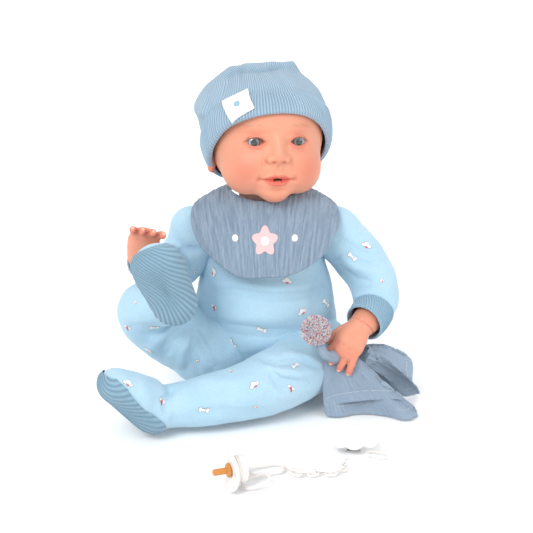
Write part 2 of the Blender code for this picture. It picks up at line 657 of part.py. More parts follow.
def bib(look):
    inner, height, thick = 31.5 * MM, 160.5 * MM, 2.2 * MM
    steps = 32
    rows = []
    for share, side in ((0, 0), (0.33, 0), (0.66, 0), (1, 0), (1, 1), (0.66, 1), (0.33, 1), (0, 1)):
        row = []
        for i in range(steps):
            turn = 2 * math.pi * i / steps
            turn = turn if turn <= math.pi else turn - 2 * math.pi
            far, low = bib_edge(turn)
            r = inner + (far - inner) * share
            bow = 5 * MM * math.sin(math.pi * share) * max(0.0, math.cos(turn))
            z = height + (low - height) * share ** 1.15 + bow - side * thick
            row.append(Vector((r * math.sin(turn), -r * math.cos(turn), z)))
        rows.append(row)
    add("bib", skin(rows, loop=True), look["muslin"])
    stud = [(0, 0.3), (5, 0.3), (5, 1.2), (3.6, 2.4), (0, 2.4)]
    spot = Vector((0, 39 * MM, bib_edge(math.pi)[1] + 2.2 * MM))
    add("bib_snap", turned([(r * MM, z * MM) for r, z in stud], 14), look["white_plastic"],
        Matrix.Translation(spot) @ Matrix.Rotation(-0.20, 4, "X"))


# Comforter cloth and pompom

POMPOM = mm(41, -80, 79)
POMPOM_RADIUS = 12.5 * MM


def comforter(look):
    foot = [(54, -72), (70, -78), (93, -71), (122, -84), (131, -60), (130, -41), (112, -26), (92, -24), (70, -34), (58, -50)]
    low = [mm(x, y, 0.3) for x, y in foot]
    middle = Vector((sum(p.x for p in low), sum(p.y for p in low), 0)) / len(low)
    heights = [20, 18, 14, 10, 12, 18, 36, 40, 26, 20]
    rings = [low]
    rings.append([Vector((p.x, p.y, h * 0.5 * MM)) for p, h in zip(low, heights)])
    for share, rise in ((0.80, 0.95), (0.45, 1.0)):
        ring = [Vector((*(middle + (p - middle) * share).xy, h * rise * MM)) for p, h in zip(low, heights)]
        rings.append(ring)
    cloth = add("comforter_cloth", skin(rings), look["muslin"])
    stem = [mm(62, -70, 11), mm(50, -77, 30), mm(43, -80, 52), POMPOM - Vector((0, 0, POMPOM_RADIUS + GAP))]
    join(cloth, tube(stem, [9 * MM, 6.5 * MM, 4 * MM, 3 * MM], sides=10, domes=(True, False)))
    add("pompom", ball(POMPOM_RADIUS, POMPOM, 14), look["pompom_yarn"])


# Dummy, its chain and its clip

DUMMY = mm(-24.5, -201, 18.2)  # middle of the shield


def dummy(look):
    away = Vector((-0.94, -0.34, 0.0)).normalized()
    up = Vector((0, 0, 1))
    place = frame_at(DUMMY, away, up) @ Matrix.Rotation(-math.pi / 2, 4, "X")  # Z of the turned shapes looks along away
    shield = [(3.2, -1.2), (10, -1.0), (17.2, 0.8), (18.0, 1.8), (17.2, 2.8), (10, 1.2), (3.2, 1.0)]
    plate = add("dummy_shield", turned([(r * MM, z * MM) for r, z in shield], 28, loop=True), look["white_plastic"], place)
    for side in (-1, 1):
        vent = turned([(2.2 * MM, -6 * MM), (2.2 * MM, 6 * MM)], 10)
        cut(plate, vent, place @ Matrix.Translation((11.5 * side * MM, 0, 0)))
    teat = [(2.9, -3.0), (2.9, 1.4), (5.2, 1.4), (5.6, 2.4), (5.2, 4.0), (2.7, 4.4), (2.5, 15), (1.3, 15.4), (1.3, 11.0), (0, 11.0)]
    add("dummy_teat", turned([(0, -3.0 * MM)] + [(r * MM, z * MM) for r, z in teat], 14), look["teat_rubber"], place)
    add("dummy_magnet", turned([(0, 11.3 * MM), (1.0 * MM, 11.3 * MM), (1.0 * MM, 15.2 * MM), (0, 15.2 * MM)], 12),
        look["steel"], place)
    knob = [(0, -3.5), (10.0, -3.5), (10.6, -5.0), (10.6, -8.0), (9.2, -10.0), (0, -10.6)]
    button = add("dummy_knob", turned([(r * MM, z * MM) for r, z in reversed(knob)], 20), look["white_plastic"], place)
    cut(button, block(mm(26, 5.2, 5.2), mm(0, -6.2, -9.6)), place)
    ring_at = Matrix.Translation(DUMMY - away * 19 * MM + Vector((0, 0, -13.2 * MM)))
    turn = math.atan2(-away.y, -away.x)
    tilt = Matrix.Rotation(turn, 4, "Z") @ Matrix.Rotation(-0.22, 4, "Y")
    add("dummy_ring", oval_ring(24 * MM, 17 * MM, 3.0 * MM), look["white_plastic"], ring_at @ tilt)


CHAIN = [(16.5, -171), (23, -178.5), (32, -181.5), (41, -178), (50, -180), (58, -175), (62.5, -167.5), (63, -160)]


def chain(look):
    """The strap loop, then the links, each a little into the next so that they are one solid."""
    loop = Matrix.Translation(mm(1, -172.5, 2.6)) @ Matrix.Rotation(0.35, 4, "Z")
    add("chain_loop", oval_ring(31 * MM, 16 * MM, 2.6 * MM, 20), look["white_plastic"], loop)
    spots = [mm(x, y, 4.4) for x, y in CHAIN]
    links = None
    for n, (here, there) in enumerate(zip(spots, spots[1:])):
        way = there - here
        place = Matrix.Translation(here.lerp(there, 0.5)) @ Matrix.Rotation(math.atan2(way.y, way.x), 4, "Z")
        place = place @ Matrix.Rotation((0.5 if n % 2 else -0.5) * math.pi / 2, 4, "X")
        shape = oval_ring(way.length + 3.4 * MM, 8.4 * MM, 2.0 * MM, 8, 5)
        if links is None:
            links = add("chain_links", shape, look["white_plastic"], place)
        else:
            join(links, shape, place)


CLIP = mm(70, -136, 10)


def clip(look):
    """A cloud-shaped clip on a sprung steel jaw, lying face up on its lever."""
    lean = Matrix.Translation(CLIP) @ Matrix.Rotation(0.50, 4, "X")
    lobes = [(-10.5, -3, 8.5), (0, 4.5, 10.5), (10.5, -2, 8.5), (0, -4, 8)]
    cloud = None
    for x, y, r in lobes:
        puff = turned([(0, 0), (r * MM, 0), (r * MM, 1.8 * MM), ((r - 1.6) * MM, 3.0 * MM), (0, 3.0 * MM)], 14)
        spot = lean @ Matrix.Translation(mm(x, y, 0))
        if cloud is None:
            cloud = add("clip_front", puff, look["white_plastic"], spot)
        else:
            join(cloud, puff, spot)
    jaw = add("clip_jaw", block(mm(16, 11, 1.6), mm(0, -1.5, -1.3), 0.4 * MM), look["steel"], lean)
    join(jaw, block(mm(12, 1.4, 3.2), mm(0, 3.3, -3.2)), lean)
    lever = block(mm(11, 12.5, 1.2), mm(0, -1.4, -6.0), 0.3 * MM)
    arm_piece = add("clip_lever", lever, look["steel"], lean)
    cut(arm_piece, block(mm(5, 5, 6), mm(0, -2.5, -6)), lean)
    eye_loop = Matrix.Translation(mm(88, -147, 2.2)) @ Matrix.Rotation(-0.45, 4, "Z")
    add("clip_loop", oval_ring(19 * MM, 9.5 * MM, 2.2 * MM, 16), look["white_plastic"], eye_loop)


def main():
    empty_scene()
    look = finishes()
    torso(look)
    sound_box(look)
    turn = Matrix.Rotation(HEAD_YAW, 4, "Z") @ Matrix.Rotation(HEAD_PITCH, 4, "X") @ Matrix.Rotation(HEAD_ROLL, 4, "Y")
    pose = empty_at("head_pose", Matrix.Translation(NECK) @ turn)
    bpy.context.view_layer.update()
    neck(look, pose)
    head(look, pose)
    hat(look, pose)
    arms(look)
    legs(look)
    bib(look)
    comforter(look)
    dummy(look)
    chain(look)
    clip(look)


main()
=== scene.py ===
"""Looks of a seated baby doll with its romper, hat, bib, comforter cloth and dummy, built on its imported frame."""

from __future__ import annotations

import json
import logging
import math
import random
from dataclasses import dataclass, field
from enum import Enum
from typing import Callable, Sequence

import bmesh
import bpy
import numpy as np
from mathutils import Matrix, Vector, noise
from mathutils.bvhtree import BVHTree

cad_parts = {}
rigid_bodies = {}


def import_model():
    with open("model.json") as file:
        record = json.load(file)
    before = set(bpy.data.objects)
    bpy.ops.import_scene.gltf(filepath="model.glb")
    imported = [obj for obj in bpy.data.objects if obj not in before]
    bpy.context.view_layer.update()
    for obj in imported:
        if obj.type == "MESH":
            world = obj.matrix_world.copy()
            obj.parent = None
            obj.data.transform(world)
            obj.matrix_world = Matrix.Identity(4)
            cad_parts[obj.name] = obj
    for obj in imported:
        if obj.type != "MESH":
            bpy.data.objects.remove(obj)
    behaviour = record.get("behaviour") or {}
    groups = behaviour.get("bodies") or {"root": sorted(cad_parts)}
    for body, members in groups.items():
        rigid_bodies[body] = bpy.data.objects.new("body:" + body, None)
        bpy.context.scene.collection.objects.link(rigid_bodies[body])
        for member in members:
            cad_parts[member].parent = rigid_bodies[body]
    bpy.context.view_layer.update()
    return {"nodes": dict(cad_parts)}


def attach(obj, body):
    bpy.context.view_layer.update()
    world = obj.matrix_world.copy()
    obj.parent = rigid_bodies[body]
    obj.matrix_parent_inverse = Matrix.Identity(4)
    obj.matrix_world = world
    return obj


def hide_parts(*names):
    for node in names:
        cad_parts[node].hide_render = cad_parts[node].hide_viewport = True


LOG = logging.getLogger("doll")
MM = 0.001
NECK = Vector((2, 0, 156)) * MM
HEAD_POSE = (
    Matrix.Translation(NECK + Vector((2.2, 0, -1.0)) * MM)
    @ Matrix.Rotation(math.radians(9.5), 4, "Z")
    @ Matrix.Rotation(math.radians(-11.0), 4, "X")
    @ Matrix.Rotation(math.radians(-2.0), 4, "Y")
)
FACE_TURN = (
    Matrix.Translation(Vector((0, 0, 62)) * MM)
    @ Matrix.Rotation(math.radians(4.5), 4, "Y")
    @ Matrix.Rotation(math.radians(2.5), 4, "Z")
    @ Matrix.Translation(Vector((0, 0, -62)) * MM)
)
STAND_TARGET = Vector((0.00126, 0.0, 0.102))
STAND_DISTANCE = 1.5
STAND_RISE = math.radians(22)
RIB_PITCH = 2.2  # mm between two ribs of the knitted edges


class Side(Enum):
    """The doll's own right or left."""

    RIGHT = "right"
    LEFT = "left"


def mm(x: float, y: float, z: float) -> Vector:
    """A point in metres, from millimetres."""
    return Vector((x, y, z)) * MM


def smooth(x: np.ndarray, low: float, high: float) -> np.ndarray:
    """A soft step from 0 at low to 1 at high."""
    t = np.clip((x - low) / (high - low), 0.0, 1.0)
    return t * t * (3 - 2 * t)


def deselect() -> None:
    """Clears the selection, and leaves edit mode first."""
    if bpy.context.object is not None and bpy.context.object.mode != "OBJECT":
        bpy.ops.object.mode_set(mode="OBJECT")
    bpy.ops.object.select_all(action="DESELECT")


def pick(*objects: bpy.types.Object) -> None:
    """Selects only these objects; the first is active."""
    deselect()
    for one in objects:
        one.select_set(True)
    bpy.context.view_layer.objects.active = objects[0]


def settle(piece: bpy.types.Object) -> bpy.types.Object:
    """Applies modifiers and place, so that the object sits at the origin.

    Args:
        piece: A mesh or curve object.

    Returns:
        The same object, as a plain mesh.
    """
    pick(piece)
    if piece.type != "MESH":
        bpy.ops.object.convert(target="MESH")
    for modifier in list(piece.modifiers):
        bpy.ops.object.modifier_apply(modifier=modifier.name)
    bpy.ops.object.transform_apply(location=True, rotation=True, scale=True)
    return piece


def coords(piece: bpy.types.Object) -> np.ndarray:
    """The piece's points, in metres."""
    co = np.empty(len(piece.data.vertices) * 3)
    piece.data.vertices.foreach_get("co", co)
    return co.reshape(-1, 3)


def set_coords(piece: bpy.types.Object, co: np.ndarray) -> None:
    """Moves the piece's points."""
    piece.data.vertices.foreach_set("co", co.ravel())
    piece.data.update()


def normals(piece: bpy.types.Object) -> np.ndarray:
    """The piece's point normals."""
    out = np.empty(len(piece.data.vertices) * 3)
    piece.data.vertex_normals.foreach_get("vector", out)
    return out.reshape(-1, 3)


def put_attribute(piece: bpy.types.Object, name: str, values: np.ndarray) -> None:
    """Stores one number for each point, for a material to read."""
    layer = piece.data.attributes.get(name) or piece.data.attributes.new(name, "FLOAT", "POINT")
    layer.data.foreach_set("value", np.asarray(values, np.float32))


def outward(piece: bpy.types.Object) -> bpy.types.Object:
    """Turns every face of a closed piece outwards."""
    pick(piece)
    bpy.ops.object.mode_set(mode="EDIT")
    bpy.ops.mesh.select_all(action="SELECT")
    bpy.ops.mesh.normals_make_consistent(inside=False)
    bpy.ops.object.mode_set(mode="OBJECT")
    return piece


def soften(piece: bpy.types.Object, degrees: float = 40) -> bpy.types.Object:
    """Shades a piece smooth, except at edges sharper than this."""
    pick(piece)
    bpy.ops.object.shade_smooth_by_angle(angle=math.radians(degrees))
    return piece


def lofted(
    name: str,
    rings: np.ndarray,
    around: bool = True,
    along: bool = False,
    caps: bool = False,
    chart: np.ndarray | None = None,
) -> bpy.types.Object:
    """A mesh over rows of points.

    Args:
        name: The object's name.
        rings: Points as (rows, columns, 3), in metres.
        around: Whether each row closes on itself.
        along: Whether the last row joins the first.
        caps: Whether the first and last rows are closed with a fan.
        chart: Pattern coordinates as (rows, columns + 1, 2), in millimetres.

    Returns:
        The object, with its faces outwards where it is closed.
    """
    rows, columns = rings.shape[:2]
    points = rings.reshape(-1, 3)
    r_count, c_count = rows - (0 if along else 1), columns - (0 if around else 1)
    r, c = np.meshgrid(np.arange(r_count), np.arange(c_count), indexing="ij")
    r2, c2 = (r + 1) % rows, (c + 1) % columns
    quads = np.stack(
        [r * columns + c, r * columns + c2, r2 * columns + c2, r2 * columns + c], -1
    ).reshape(-1, 4)
    faces = quads.tolist()
    if caps:
        points = np.vstack([points, rings[0].mean(0), rings[-1].mean(0)])
        first, last = len(points) - 2, len(points) - 1
        for i in range(columns):
            j = (i + 1) % columns
            faces.append([first, j, i])
            faces.append([last, (rows - 1) * columns + i, (rows - 1) * columns + j])
    mesh = bpy.data.meshes.new(name)
    mesh.from_pydata(points.tolist(), [], faces)
    mesh.update()
    if chart is not None:
        layer = mesh.uv_layers.new(name="Pattern")
        c3 = c + 1
        uv = np.stack(
            [
                chart[r, c], chart[r, c3], chart[np.minimum(r + 1, chart.shape[0] - 1), c3],
                chart[np.minimum(r + 1, chart.shape[0] - 1), c]
            ],
            2
        )
        flat = np.zeros((len(mesh.loops), 2))
        flat[: r_count * c_count * 4] = uv.reshape(-1, 2)
        layer.data.foreach_set("uv", flat.ravel())
    made = bpy.data.objects.new(name, mesh)
    bpy.context.scene.collection.objects.link(made)
    if caps or along:
        outward(made)
    return soften(made)


def course(points: Sequence[Vector], count: int) -> np.ndarray:
    """Points evenly spread on a smooth curve through the given ones.

    Args:
        points: What the curve runs through.
        count: How many points come back.

    Returns:
        An array (count, 3).
    """
    p = np.array([tuple(v) for v in points], float)
    p = np.vstack([2 * p[0] - p[1], p, 2 * p[-1] - p[-2]])
    dense = []
    for k in range(1, len(p) - 2):
        t = np.linspace(0, 1, 24, endpoint=False)[:, None]
        a, b, c, d = p[k - 1], p[k], p[k + 1], p[k + 2]
        dense.append(
            0.5 * (
                (2 * b) + (c - a) * t + (2 * a - 5 * b + 4 * c - d) * t**2 + (3 * b - a - 3 * c + d) * t**3
            )
        )
    dense = np.vstack(dense + [p[-2][None]])
    gone = np.concatenate([[0], np.cumsum(np.linalg.norm(np.diff(dense, axis=0), axis=1))])
    at = np.linspace(0, gone[-1], count)
    return np.stack([np.interp(at, gone, dense[:, k]) for k in range(3)], 1)


def bezier(start: Vector, control: Vector, end: Vector, shares: np.ndarray) -> np.ndarray:
    """Points of a quadratic curve at shares of its course."""
    a, b, c = (np.array(v, float) for v in (start, control, end))
    t = np.asarray(shares)[:, None]
    return a * (1 - t) ** 2 + b * 2 * t * (1 - t) + c * t * t


def sweep(
    path: np.ndarray, halves: np.ndarray, sides: int, lead: Vector = Vector((0, 0, 1)), domes: tuple[int, int] = (0, 0)
) -> np.ndarray:
    """Rings square to a path.

    Args:
        path: The middle of each ring, in metres.
        halves: Half size towards lead and across it, for each ring, in metres.
        sides: Points in a ring.
        lead: The way that a ring's first point looks.
        domes: Rings that round off the start and the end.

    Returns:
        Points as (rings, sides, 3).
    """
    ways = np.gradient(path, axis=0)
    ways /= np.linalg.norm(ways, axis=1)[:, None]
    stations = [(path[i], ways[i], halves[i], 1.0) for i in range(len(path))]
    if domes[0]:
        bulge = min(halves[0])
        turns = [math.pi / 2 * (k + 0.35) / domes[0] for k in range(domes[0])][::-1]
        stations = [
            (
                path[0] - ways[0] * bulge * math.sin(t), ways[0], halves[0], math.cos(t)
            ) for t in turns if t > 0.01
        ] + stations
    if domes[1]:
        bulge = min(halves[-1])
        turns = [math.pi / 2 * (k + 0.35) / domes[1] for k in range(domes[1])]
        stations += [
            (
                path[-1] + ways[-1] * bulge * math.sin(t), ways[-1], halves[-1], math.cos(t)
            ) for t in turns if t > 0.01
        ]
    turn = np.linspace(0, 2 * math.pi, sides, endpoint=False)
    rings = []
    first = np.array(lead, float)
    for place, way, (a, b), share in stations:
        up = first - way * first.dot(way)
        up /= np.linalg.norm(up)
        across = np.cross(way, up)
        rings.append(place + share * (np.cos(turn)[:, None] * up * a + np.sin(turn)[:, None] * across * b))
    return np.array(rings)


def fused(
    name: str, parts: Sequence[bpy.types.Object], voxel: float, rounds: int, levels: int
) -> bpy.types.Object:
    """One skin over several closed forms, with soft creases between them.

    Args:
        name: The object's name.
        parts: Closed meshes; they are used up.
        voxel: Grain of the new skin, in metres.
        rounds: How often it is smoothed.
        levels: Subdivisions at the end.

    Returns:
        The new object.
    """
    pick(*parts)
    if len(parts) > 1:
        bpy.ops.object.join()
    made = bpy.context.object
    made.name = name
    made.data.remesh_voxel_size = voxel
    made.data.remesh_voxel_adaptivity = 0.0
    bpy.ops.object.voxel_remesh()
    relax = made.modifiers.new("relax", "SMOOTH")
    relax.factor, relax.iterations = 0.5, rounds
    if levels:
        finer = made.modifiers.new("finer", "SUBSURF")
        finer.levels = finer.render_levels = levels
    settle(made)
    pick(made)
    bpy.ops.object.shade_smooth()
    return made


def joined(name: str, parts: Sequence[bpy.types.Object]) -> bpy.types.Object:
    """Several meshes as one object, each keeping its finishes."""
    pick(*parts)
    if len(parts) > 1:
        bpy.ops.object.join()
    made = bpy.context.object
    made.name = name
    return made


def seen_from_stand(co: np.ndarray) -> tuple[np.ndarray, np.ndarray, np.ndarray]:
    """Where points lie on the plane that faces the stand, in millimetres.

    Args:
        co: Points in metres.

    Returns:
        Across and up on that plane, and the unit way from each point to the stand.
    """
    back = np.array((0.0, -math.cos(STAND_RISE), math.sin(STAND_RISE)))
    up = np.array((0.0, math.sin(STAND_RISE), math.cos(STAND_RISE)))
    stand = np.array(STAND_TARGET) + back * STAND_DISTANCE
    away = co - stand
    depth = -(away @ back)
    across = away[:, 0] * STAND_DISTANCE / depth / MM
    rise = (away @ up) * STAND_DISTANCE / depth / MM
    way = -away / np.linalg.norm(away, axis=1)[:, None]
    return across, rise, way


def sight(u: float, v: float) -> tuple[Vector, Vector]:
    """The line from the stand through a spot of the facing plane, given in millimetres."""
    back = Vector((0.0, -math.cos(STAND_RISE), math.sin(STAND_RISE)))
    up = Vector((0.0, math.sin(STAND_RISE), math.cos(STAND_RISE)))
    stand = STAND_TARGET + back * STAND_DISTANCE
    spot = STAND_TARGET + Vector((u * MM, 0, 0)) + up * v * MM
    return stand, (spot - stand).normalized()


def near_lines(
    across: np.ndarray, rise: np.ndarray, line: Sequence[tuple[float, float]]
) -> tuple[np.ndarray, np.ndarray]:
    """Distance to a broken line on the facing plane, and the share of the line that is nearest."""
    p = np.stack([across, rise], 1)
    best, where = np.full(len(p), 1e9), np.zeros(len(p))
    for k in range(len(line) - 1):
        a, b = np.array(line[k], float), np.array(line[k + 1], float)
        t = np.clip(((p - a) @ (b - a)) / ((b - a) @ (b - a)), 0, 1)
        d = np.linalg.norm(p - (a + t[:, None] * (b - a)), axis=1)
        closer = d < best
        best[closer], where[closer] = d[closer], ((k + t) / (len(line) - 1))[closer]
    return best, where


@dataclass(frozen=True)
class Fold:
    """A ridge or a sunken fold of cloth, as a line on the plane that faces the stand."""

    line: tuple[tuple[float, float], ...]  # millimetres across and up
    out: float  # height in millimetres, below 0 for a crease
    width: float  # millimetres

    def push(self, piece: bpy.types.Object) -> None:
        """Moves the points that face the stand along their normals."""
        co, way = coords(piece), normals(piece)
        across, rise, back = seen_from_stand(co)
        facing = smooth((way * back).sum(1), 0.05, 0.5)
        away, share = near_lines(across, rise, self.line)
        amount = 2.1 * self.out * np.exp(-((away / self.width) ** 2)) * np.sin(np.pi * np.clip(share, 0.04, 0.96)) ** 0.6
        set_coords(piece, co + way * (np.maximum(amount, -1.7) * facing * MM)[:, None])


def wrinkle(piece: bpy.types.Object, height: float, size: tuple[float, float, float], seed: float) -> None:
    """Rolls the surface softly by noise.

    Args:
        piece: What is moved.
        height: Largest move, in millimetres.
        size: Size of the rolls along X, Y and Z, in millimetres.
        seed: Where in the noise it starts.
    """
    co, way = coords(piece), normals(piece)
    scale = 1.0 / (np.array(size) * MM)
    roll = np.array([noise.noise(Vector(q)) for q in co * scale + seed])
    set_coords(piece, co + way * (roll * height * MM)[:, None])


class Graph:
    """A small hand for drawing a material's nodes."""

    def __init__(self, name: str) -> None:
        """Starts a material with one Principled shader."""
        self.material = bpy.data.materials.new(name)
        self.material.use_nodes = True
        self.tree = self.material.node_tree
        self.shader = self.tree.nodes["Principled BSDF"]

    def node(self, kind: str, **settings: object) -> bpy.types.Node:
        """A node with its properties set."""
        made = self.tree.nodes.new(kind)
        for key, value in settings.items():
            setattr(made, key, value)
        return made

    def link(self, source: bpy.types.NodeSocket, target: bpy.types.NodeSocket) -> None:
        """Joins two sockets."""
        self.tree.links.new(source, target)

    def number(
        self, operation: str, a: object, b: object = None, clamp: bool = False
    ) -> bpy.types.NodeSocket:
        """A sum of two values, each a socket or a number."""
        made = self.node("ShaderNodeMath", operation=operation, use_clamp=clamp)
        for socket, value in zip(made.inputs, (a, b)):
            if isinstance(value, bpy.types.NodeSocket):
                self.link(value, socket)
            elif value is not None:
                socket.default_value = value
        return made.outputs[0]

    def blend(self, share: object, low: object, high: object, kind: str = "MIX") -> bpy.types.NodeSocket:
        """Two colours mixed; each is a socket or an RGB triple."""
        made = self.node("ShaderNodeMix", data_type="RGBA", blend_type=kind)
        for socket, value in ((made.inputs[0], share), (made.inputs[6], low), (made.inputs[7], high)):
            if isinstance(value, bpy.types.NodeSocket):
                self.link(value, socket)
            elif isinstance(value, (int, float)):
                socket.default_value = value
            else:
                socket.default_value = (*value, 1.0)
        return made.outputs[2]

    def place(
        self, scale: tuple[float, float, float] = (1, 1, 1), chart: bool = False
    ) -> bpy.types.NodeSocket:
        """Coordinates of the object, or of its own pattern map, stretched by scale."""
        if chart:
            source = self.node("ShaderNodeUVMap", uv_map="Pattern").outputs[0]
        else:
            source = self.node("ShaderNodeTexCoord").outputs["Object"]
        mapping = self.node("ShaderNodeMapping")
        mapping.inputs["Scale"].default_value = scale
        self.link(source, mapping.inputs["Vector"])
        return mapping.outputs[0]

    def noise(
        self, where: bpy.types.NodeSocket, scale: float, detail: float = 3, rough: float = 0.5
    ) -> bpy.types.NodeSocket:
        """Noise between 0 and 1."""
        made = self.node("ShaderNodeTexNoise")
        made.inputs["Scale"].default_value = scale
        made.inputs["Detail"].default_value = detail
        made.inputs["Roughness"].default_value = rough
        self.link(where, made.inputs["Vector"])
        return made.outputs["Fac"]

    def attribute(self, name: str) -> bpy.types.NodeSocket:
        """A number stored on the piece's points."""
        return self.node("ShaderNodeAttribute", attribute_name=name).outputs["Fac"]

    def steps(
        self, share: bpy.types.NodeSocket, stops: Sequence[tuple[float, tuple[float, float, float]]],
        hard: bool = False
    ) -> bpy.types.NodeSocket:
        """A colour ramp."""
        made = self.node("ShaderNodeValToRGB")
        made.color_ramp.interpolation = "CONSTANT" if hard else "LINEAR"
        while len(made.color_ramp.elements) < len(stops):
            made.color_ramp.elements.new(0.5)
        for element, (at, colour) in zip(made.color_ramp.elements, stops):
            element.position = at
            element.color = (*colour, 1.0)
        self.link(share, made.inputs[0])
        return made.outputs[0]

    def bump(self, height: bpy.types.NodeSocket, distance: float, strength: float = 1.0) -> None:
        """Sends a height, in metres at 1, to the shader's normal."""
        made = self.node("ShaderNodeBump")
        made.inputs["Distance"].default_value = distance
        made.inputs["Strength"].default_value = strength
        self.link(height, made.inputs["Height"])
        self.link(made.outputs[0], self.shader.inputs["Normal"])

    def colour(self, source: object) -> None:
        """Sets the base colour, from a socket or an RGB triple."""
        if isinstance(source, bpy.types.NodeSocket):
            self.link(source, self.shader.inputs["Base Color"])
        else:
            self.shader.inputs["Base Color"].default_value = (*source, 1.0)

    def settings(self, **values: float) -> None:
        """Sets numbers on the shader's own sockets, named with _ for a space."""
        for key, value in values.items():
            self.shader.inputs[key.replace("_", " ")].default_value = value


RGB = tuple[float, float, float]


@dataclass(frozen=True)
class Jersey:
    """Fine single knit of the romper."""

    name: str = "jersey"
    light: RGB = (0.49, 0.67, 0.79)
    deep: RGB = (0.36, 0.57, 0.71)

    def make(self) -> bpy.types.Material:
        """Draws the material."""
        g = Graph(self.name)
        cloudy = g.noise(g.place(), 28, 3)
        knit = g.noise(g.place((1, 1, 0.45)), 1500, 2, 0.6)
        base = g.blend(cloudy, self.deep, self.light)
        g.colour(
            g.blend(
                g.number("MULTIPLY", g.number("SUBTRACT", 0.62, knit, True), 1.3, True), base,
                tuple(c * 0.8 for c in self.deep)
            )
        )
        g.settings(
            Roughness=0.85, Sheen_Weight=0.22, Sheen_Roughness=0.5, Specular_IOR_Level=0.2,
            Subsurface_Weight=0.08, Subsurface_Scale=0.002
        )
        g.bump(knit, 0.00022, 0.7)
        return g.material


@dataclass(frozen=True)
class Print:
    """Ink on the knit."""

    name: str
    tone: RGB

    def make(self) -> bpy.types.Material:
        """Draws the material."""
        g = Graph(self.name)
        grain = g.noise(g.place(), 1600, 2)
        g.colour(g.blend(grain, tuple(c * 0.82 for c in self.tone), self.tone))
        g.settings(Roughness=0.8, Specular_IOR_Level=0.25)
        g.bump(grain, 0.00012, 0.5)
        return g.material


@dataclass(frozen=True)
class RibKnit:
    """Knit with raised ribs that follow the piece's pattern map; the grooves between ribs are painted darker as shade.
    """

    name: str
    ridge: RGB
    # colour of the grooves between ribs, painted darker as shade
    groove_shade: RGB
    pitch: float = RIB_PITCH
    depth: float = 0.0005

    def make(self) -> bpy.types.Material:
        """Draws the material."""
        g = Graph(self.name)
        split = g.node("ShaderNodeSeparateXYZ")
        g.link(g.place(chart=True), split.inputs[0])
        wobble = g.noise(g.place((0.08, 0.03, 1), chart=True), 1.0, 2)
        shifted = g.number("ADD", split.outputs[0], g.number("MULTIPLY", wobble, 1.2))
        wave = g.number("SINE", g.number("MULTIPLY", shifted, 2 * math.pi / self.pitch))
        rib = g.number("ADD", g.number("MULTIPLY", wave, 0.5), 0.5)
        stitch = g.number("SINE", g.number("MULTIPLY", split.outputs[1], 2 * math.pi / 0.9))
        fuzz = g.noise(g.place(), 1400, 2)
        # painted shade: across each rib the colour runs from the darker groove colour up to the ridge colour
        tone = g.blend(g.number("POWER", rib, 0.7), self.groove_shade, self.ridge)
        cloudy = g.noise(g.place(), 30, 2)
        tone = g.blend(g.number("MULTIPLY", cloudy, 0.22), tone, tuple(c * 0.75 for c in self.ridge))
        g.colour(g.blend(g.number("MULTIPLY", fuzz, 0.25), tone, self.groove_shade))
        height = g.number(
            "ADD", rib, g.number("ADD", g.number("MULTIPLY", stitch, 0.06), g.number("MULTIPLY", fuzz, 0.25))
        )
        g.settings(Roughness=0.88, Sheen_Weight=0.2, Sheen_Roughness=0.5, Specular_IOR_Level=0.2)
        g.bump(height, self.depth)
        return g.material


@dataclass(frozen=True)
class Muslin:
    """Crinkled double gauze, with its crinkles along V of the pattern map; the low parts of the crinkles are painted
    darker as shade.
    """

    name: str
    light: RGB
    # colour of the crinkles' low parts as painted shade, and of the slubs
    deep: RGB
    crinkle: float = 1.0

    def make(self) -> bpy.types.Material:
        """Draws the material."""
        g = Graph(self.name)
        streak = g.noise(g.place((0.42, 0.035, 1), chart=True), 1.0, 3, 0.55)
        small = g.noise(g.place((1.1, 0.22, 1), chart=True), 1.0, 2, 0.5)
        split = g.node("ShaderNodeSeparateXYZ")
        g.link(g.place(chart=True), split.inputs[0])
        warp = g.number("SINE", g.number("MULTIPLY", split.outputs[0], 2 * math.pi / 0.75))
        weft = g.number("SINE", g.number("MULTIPLY", split.outputs[1], 2 * math.pi / 0.75))
        weave = g.number("MULTIPLY", g.number("ADD", warp, weft), 0.25)
        slub = g.noise(g.place((0.25, 2.2, 1), chart=True), 1.0, 2)
        relief = g.number(
            "ADD", g.number("MULTIPLY", streak, self.crinkle), g.number("MULTIPLY", small, 0.35)
        )
        # painted shade: where the crinkle relief is low the colour goes to deep, where it is high to light
        crinkle_shade = g.number("SUBTRACT", g.number("MULTIPLY", relief, 2.6), 1.15, True)
        tone = g.blend(crinkle_shade, self.deep, self.light)
        tone = g.blend(
            g.number("MULTIPLY", g.number("ADD", weave, 0.5, True), 0.30), tone,
            tuple(min(1.0, c * 1.28) for c in self.light)
        )
        g.colour(g.blend(g.number("MULTIPLY", slub, 0.22), tone, self.deep))
        g.settings(Roughness=0.92, Sheen_Weight=0.15, Specular_IOR_Level=0.15)
        g.bump(g.number("ADD", relief, g.number("MULTIPLY", weave, 0.18)), 0.0011)
        return g.material


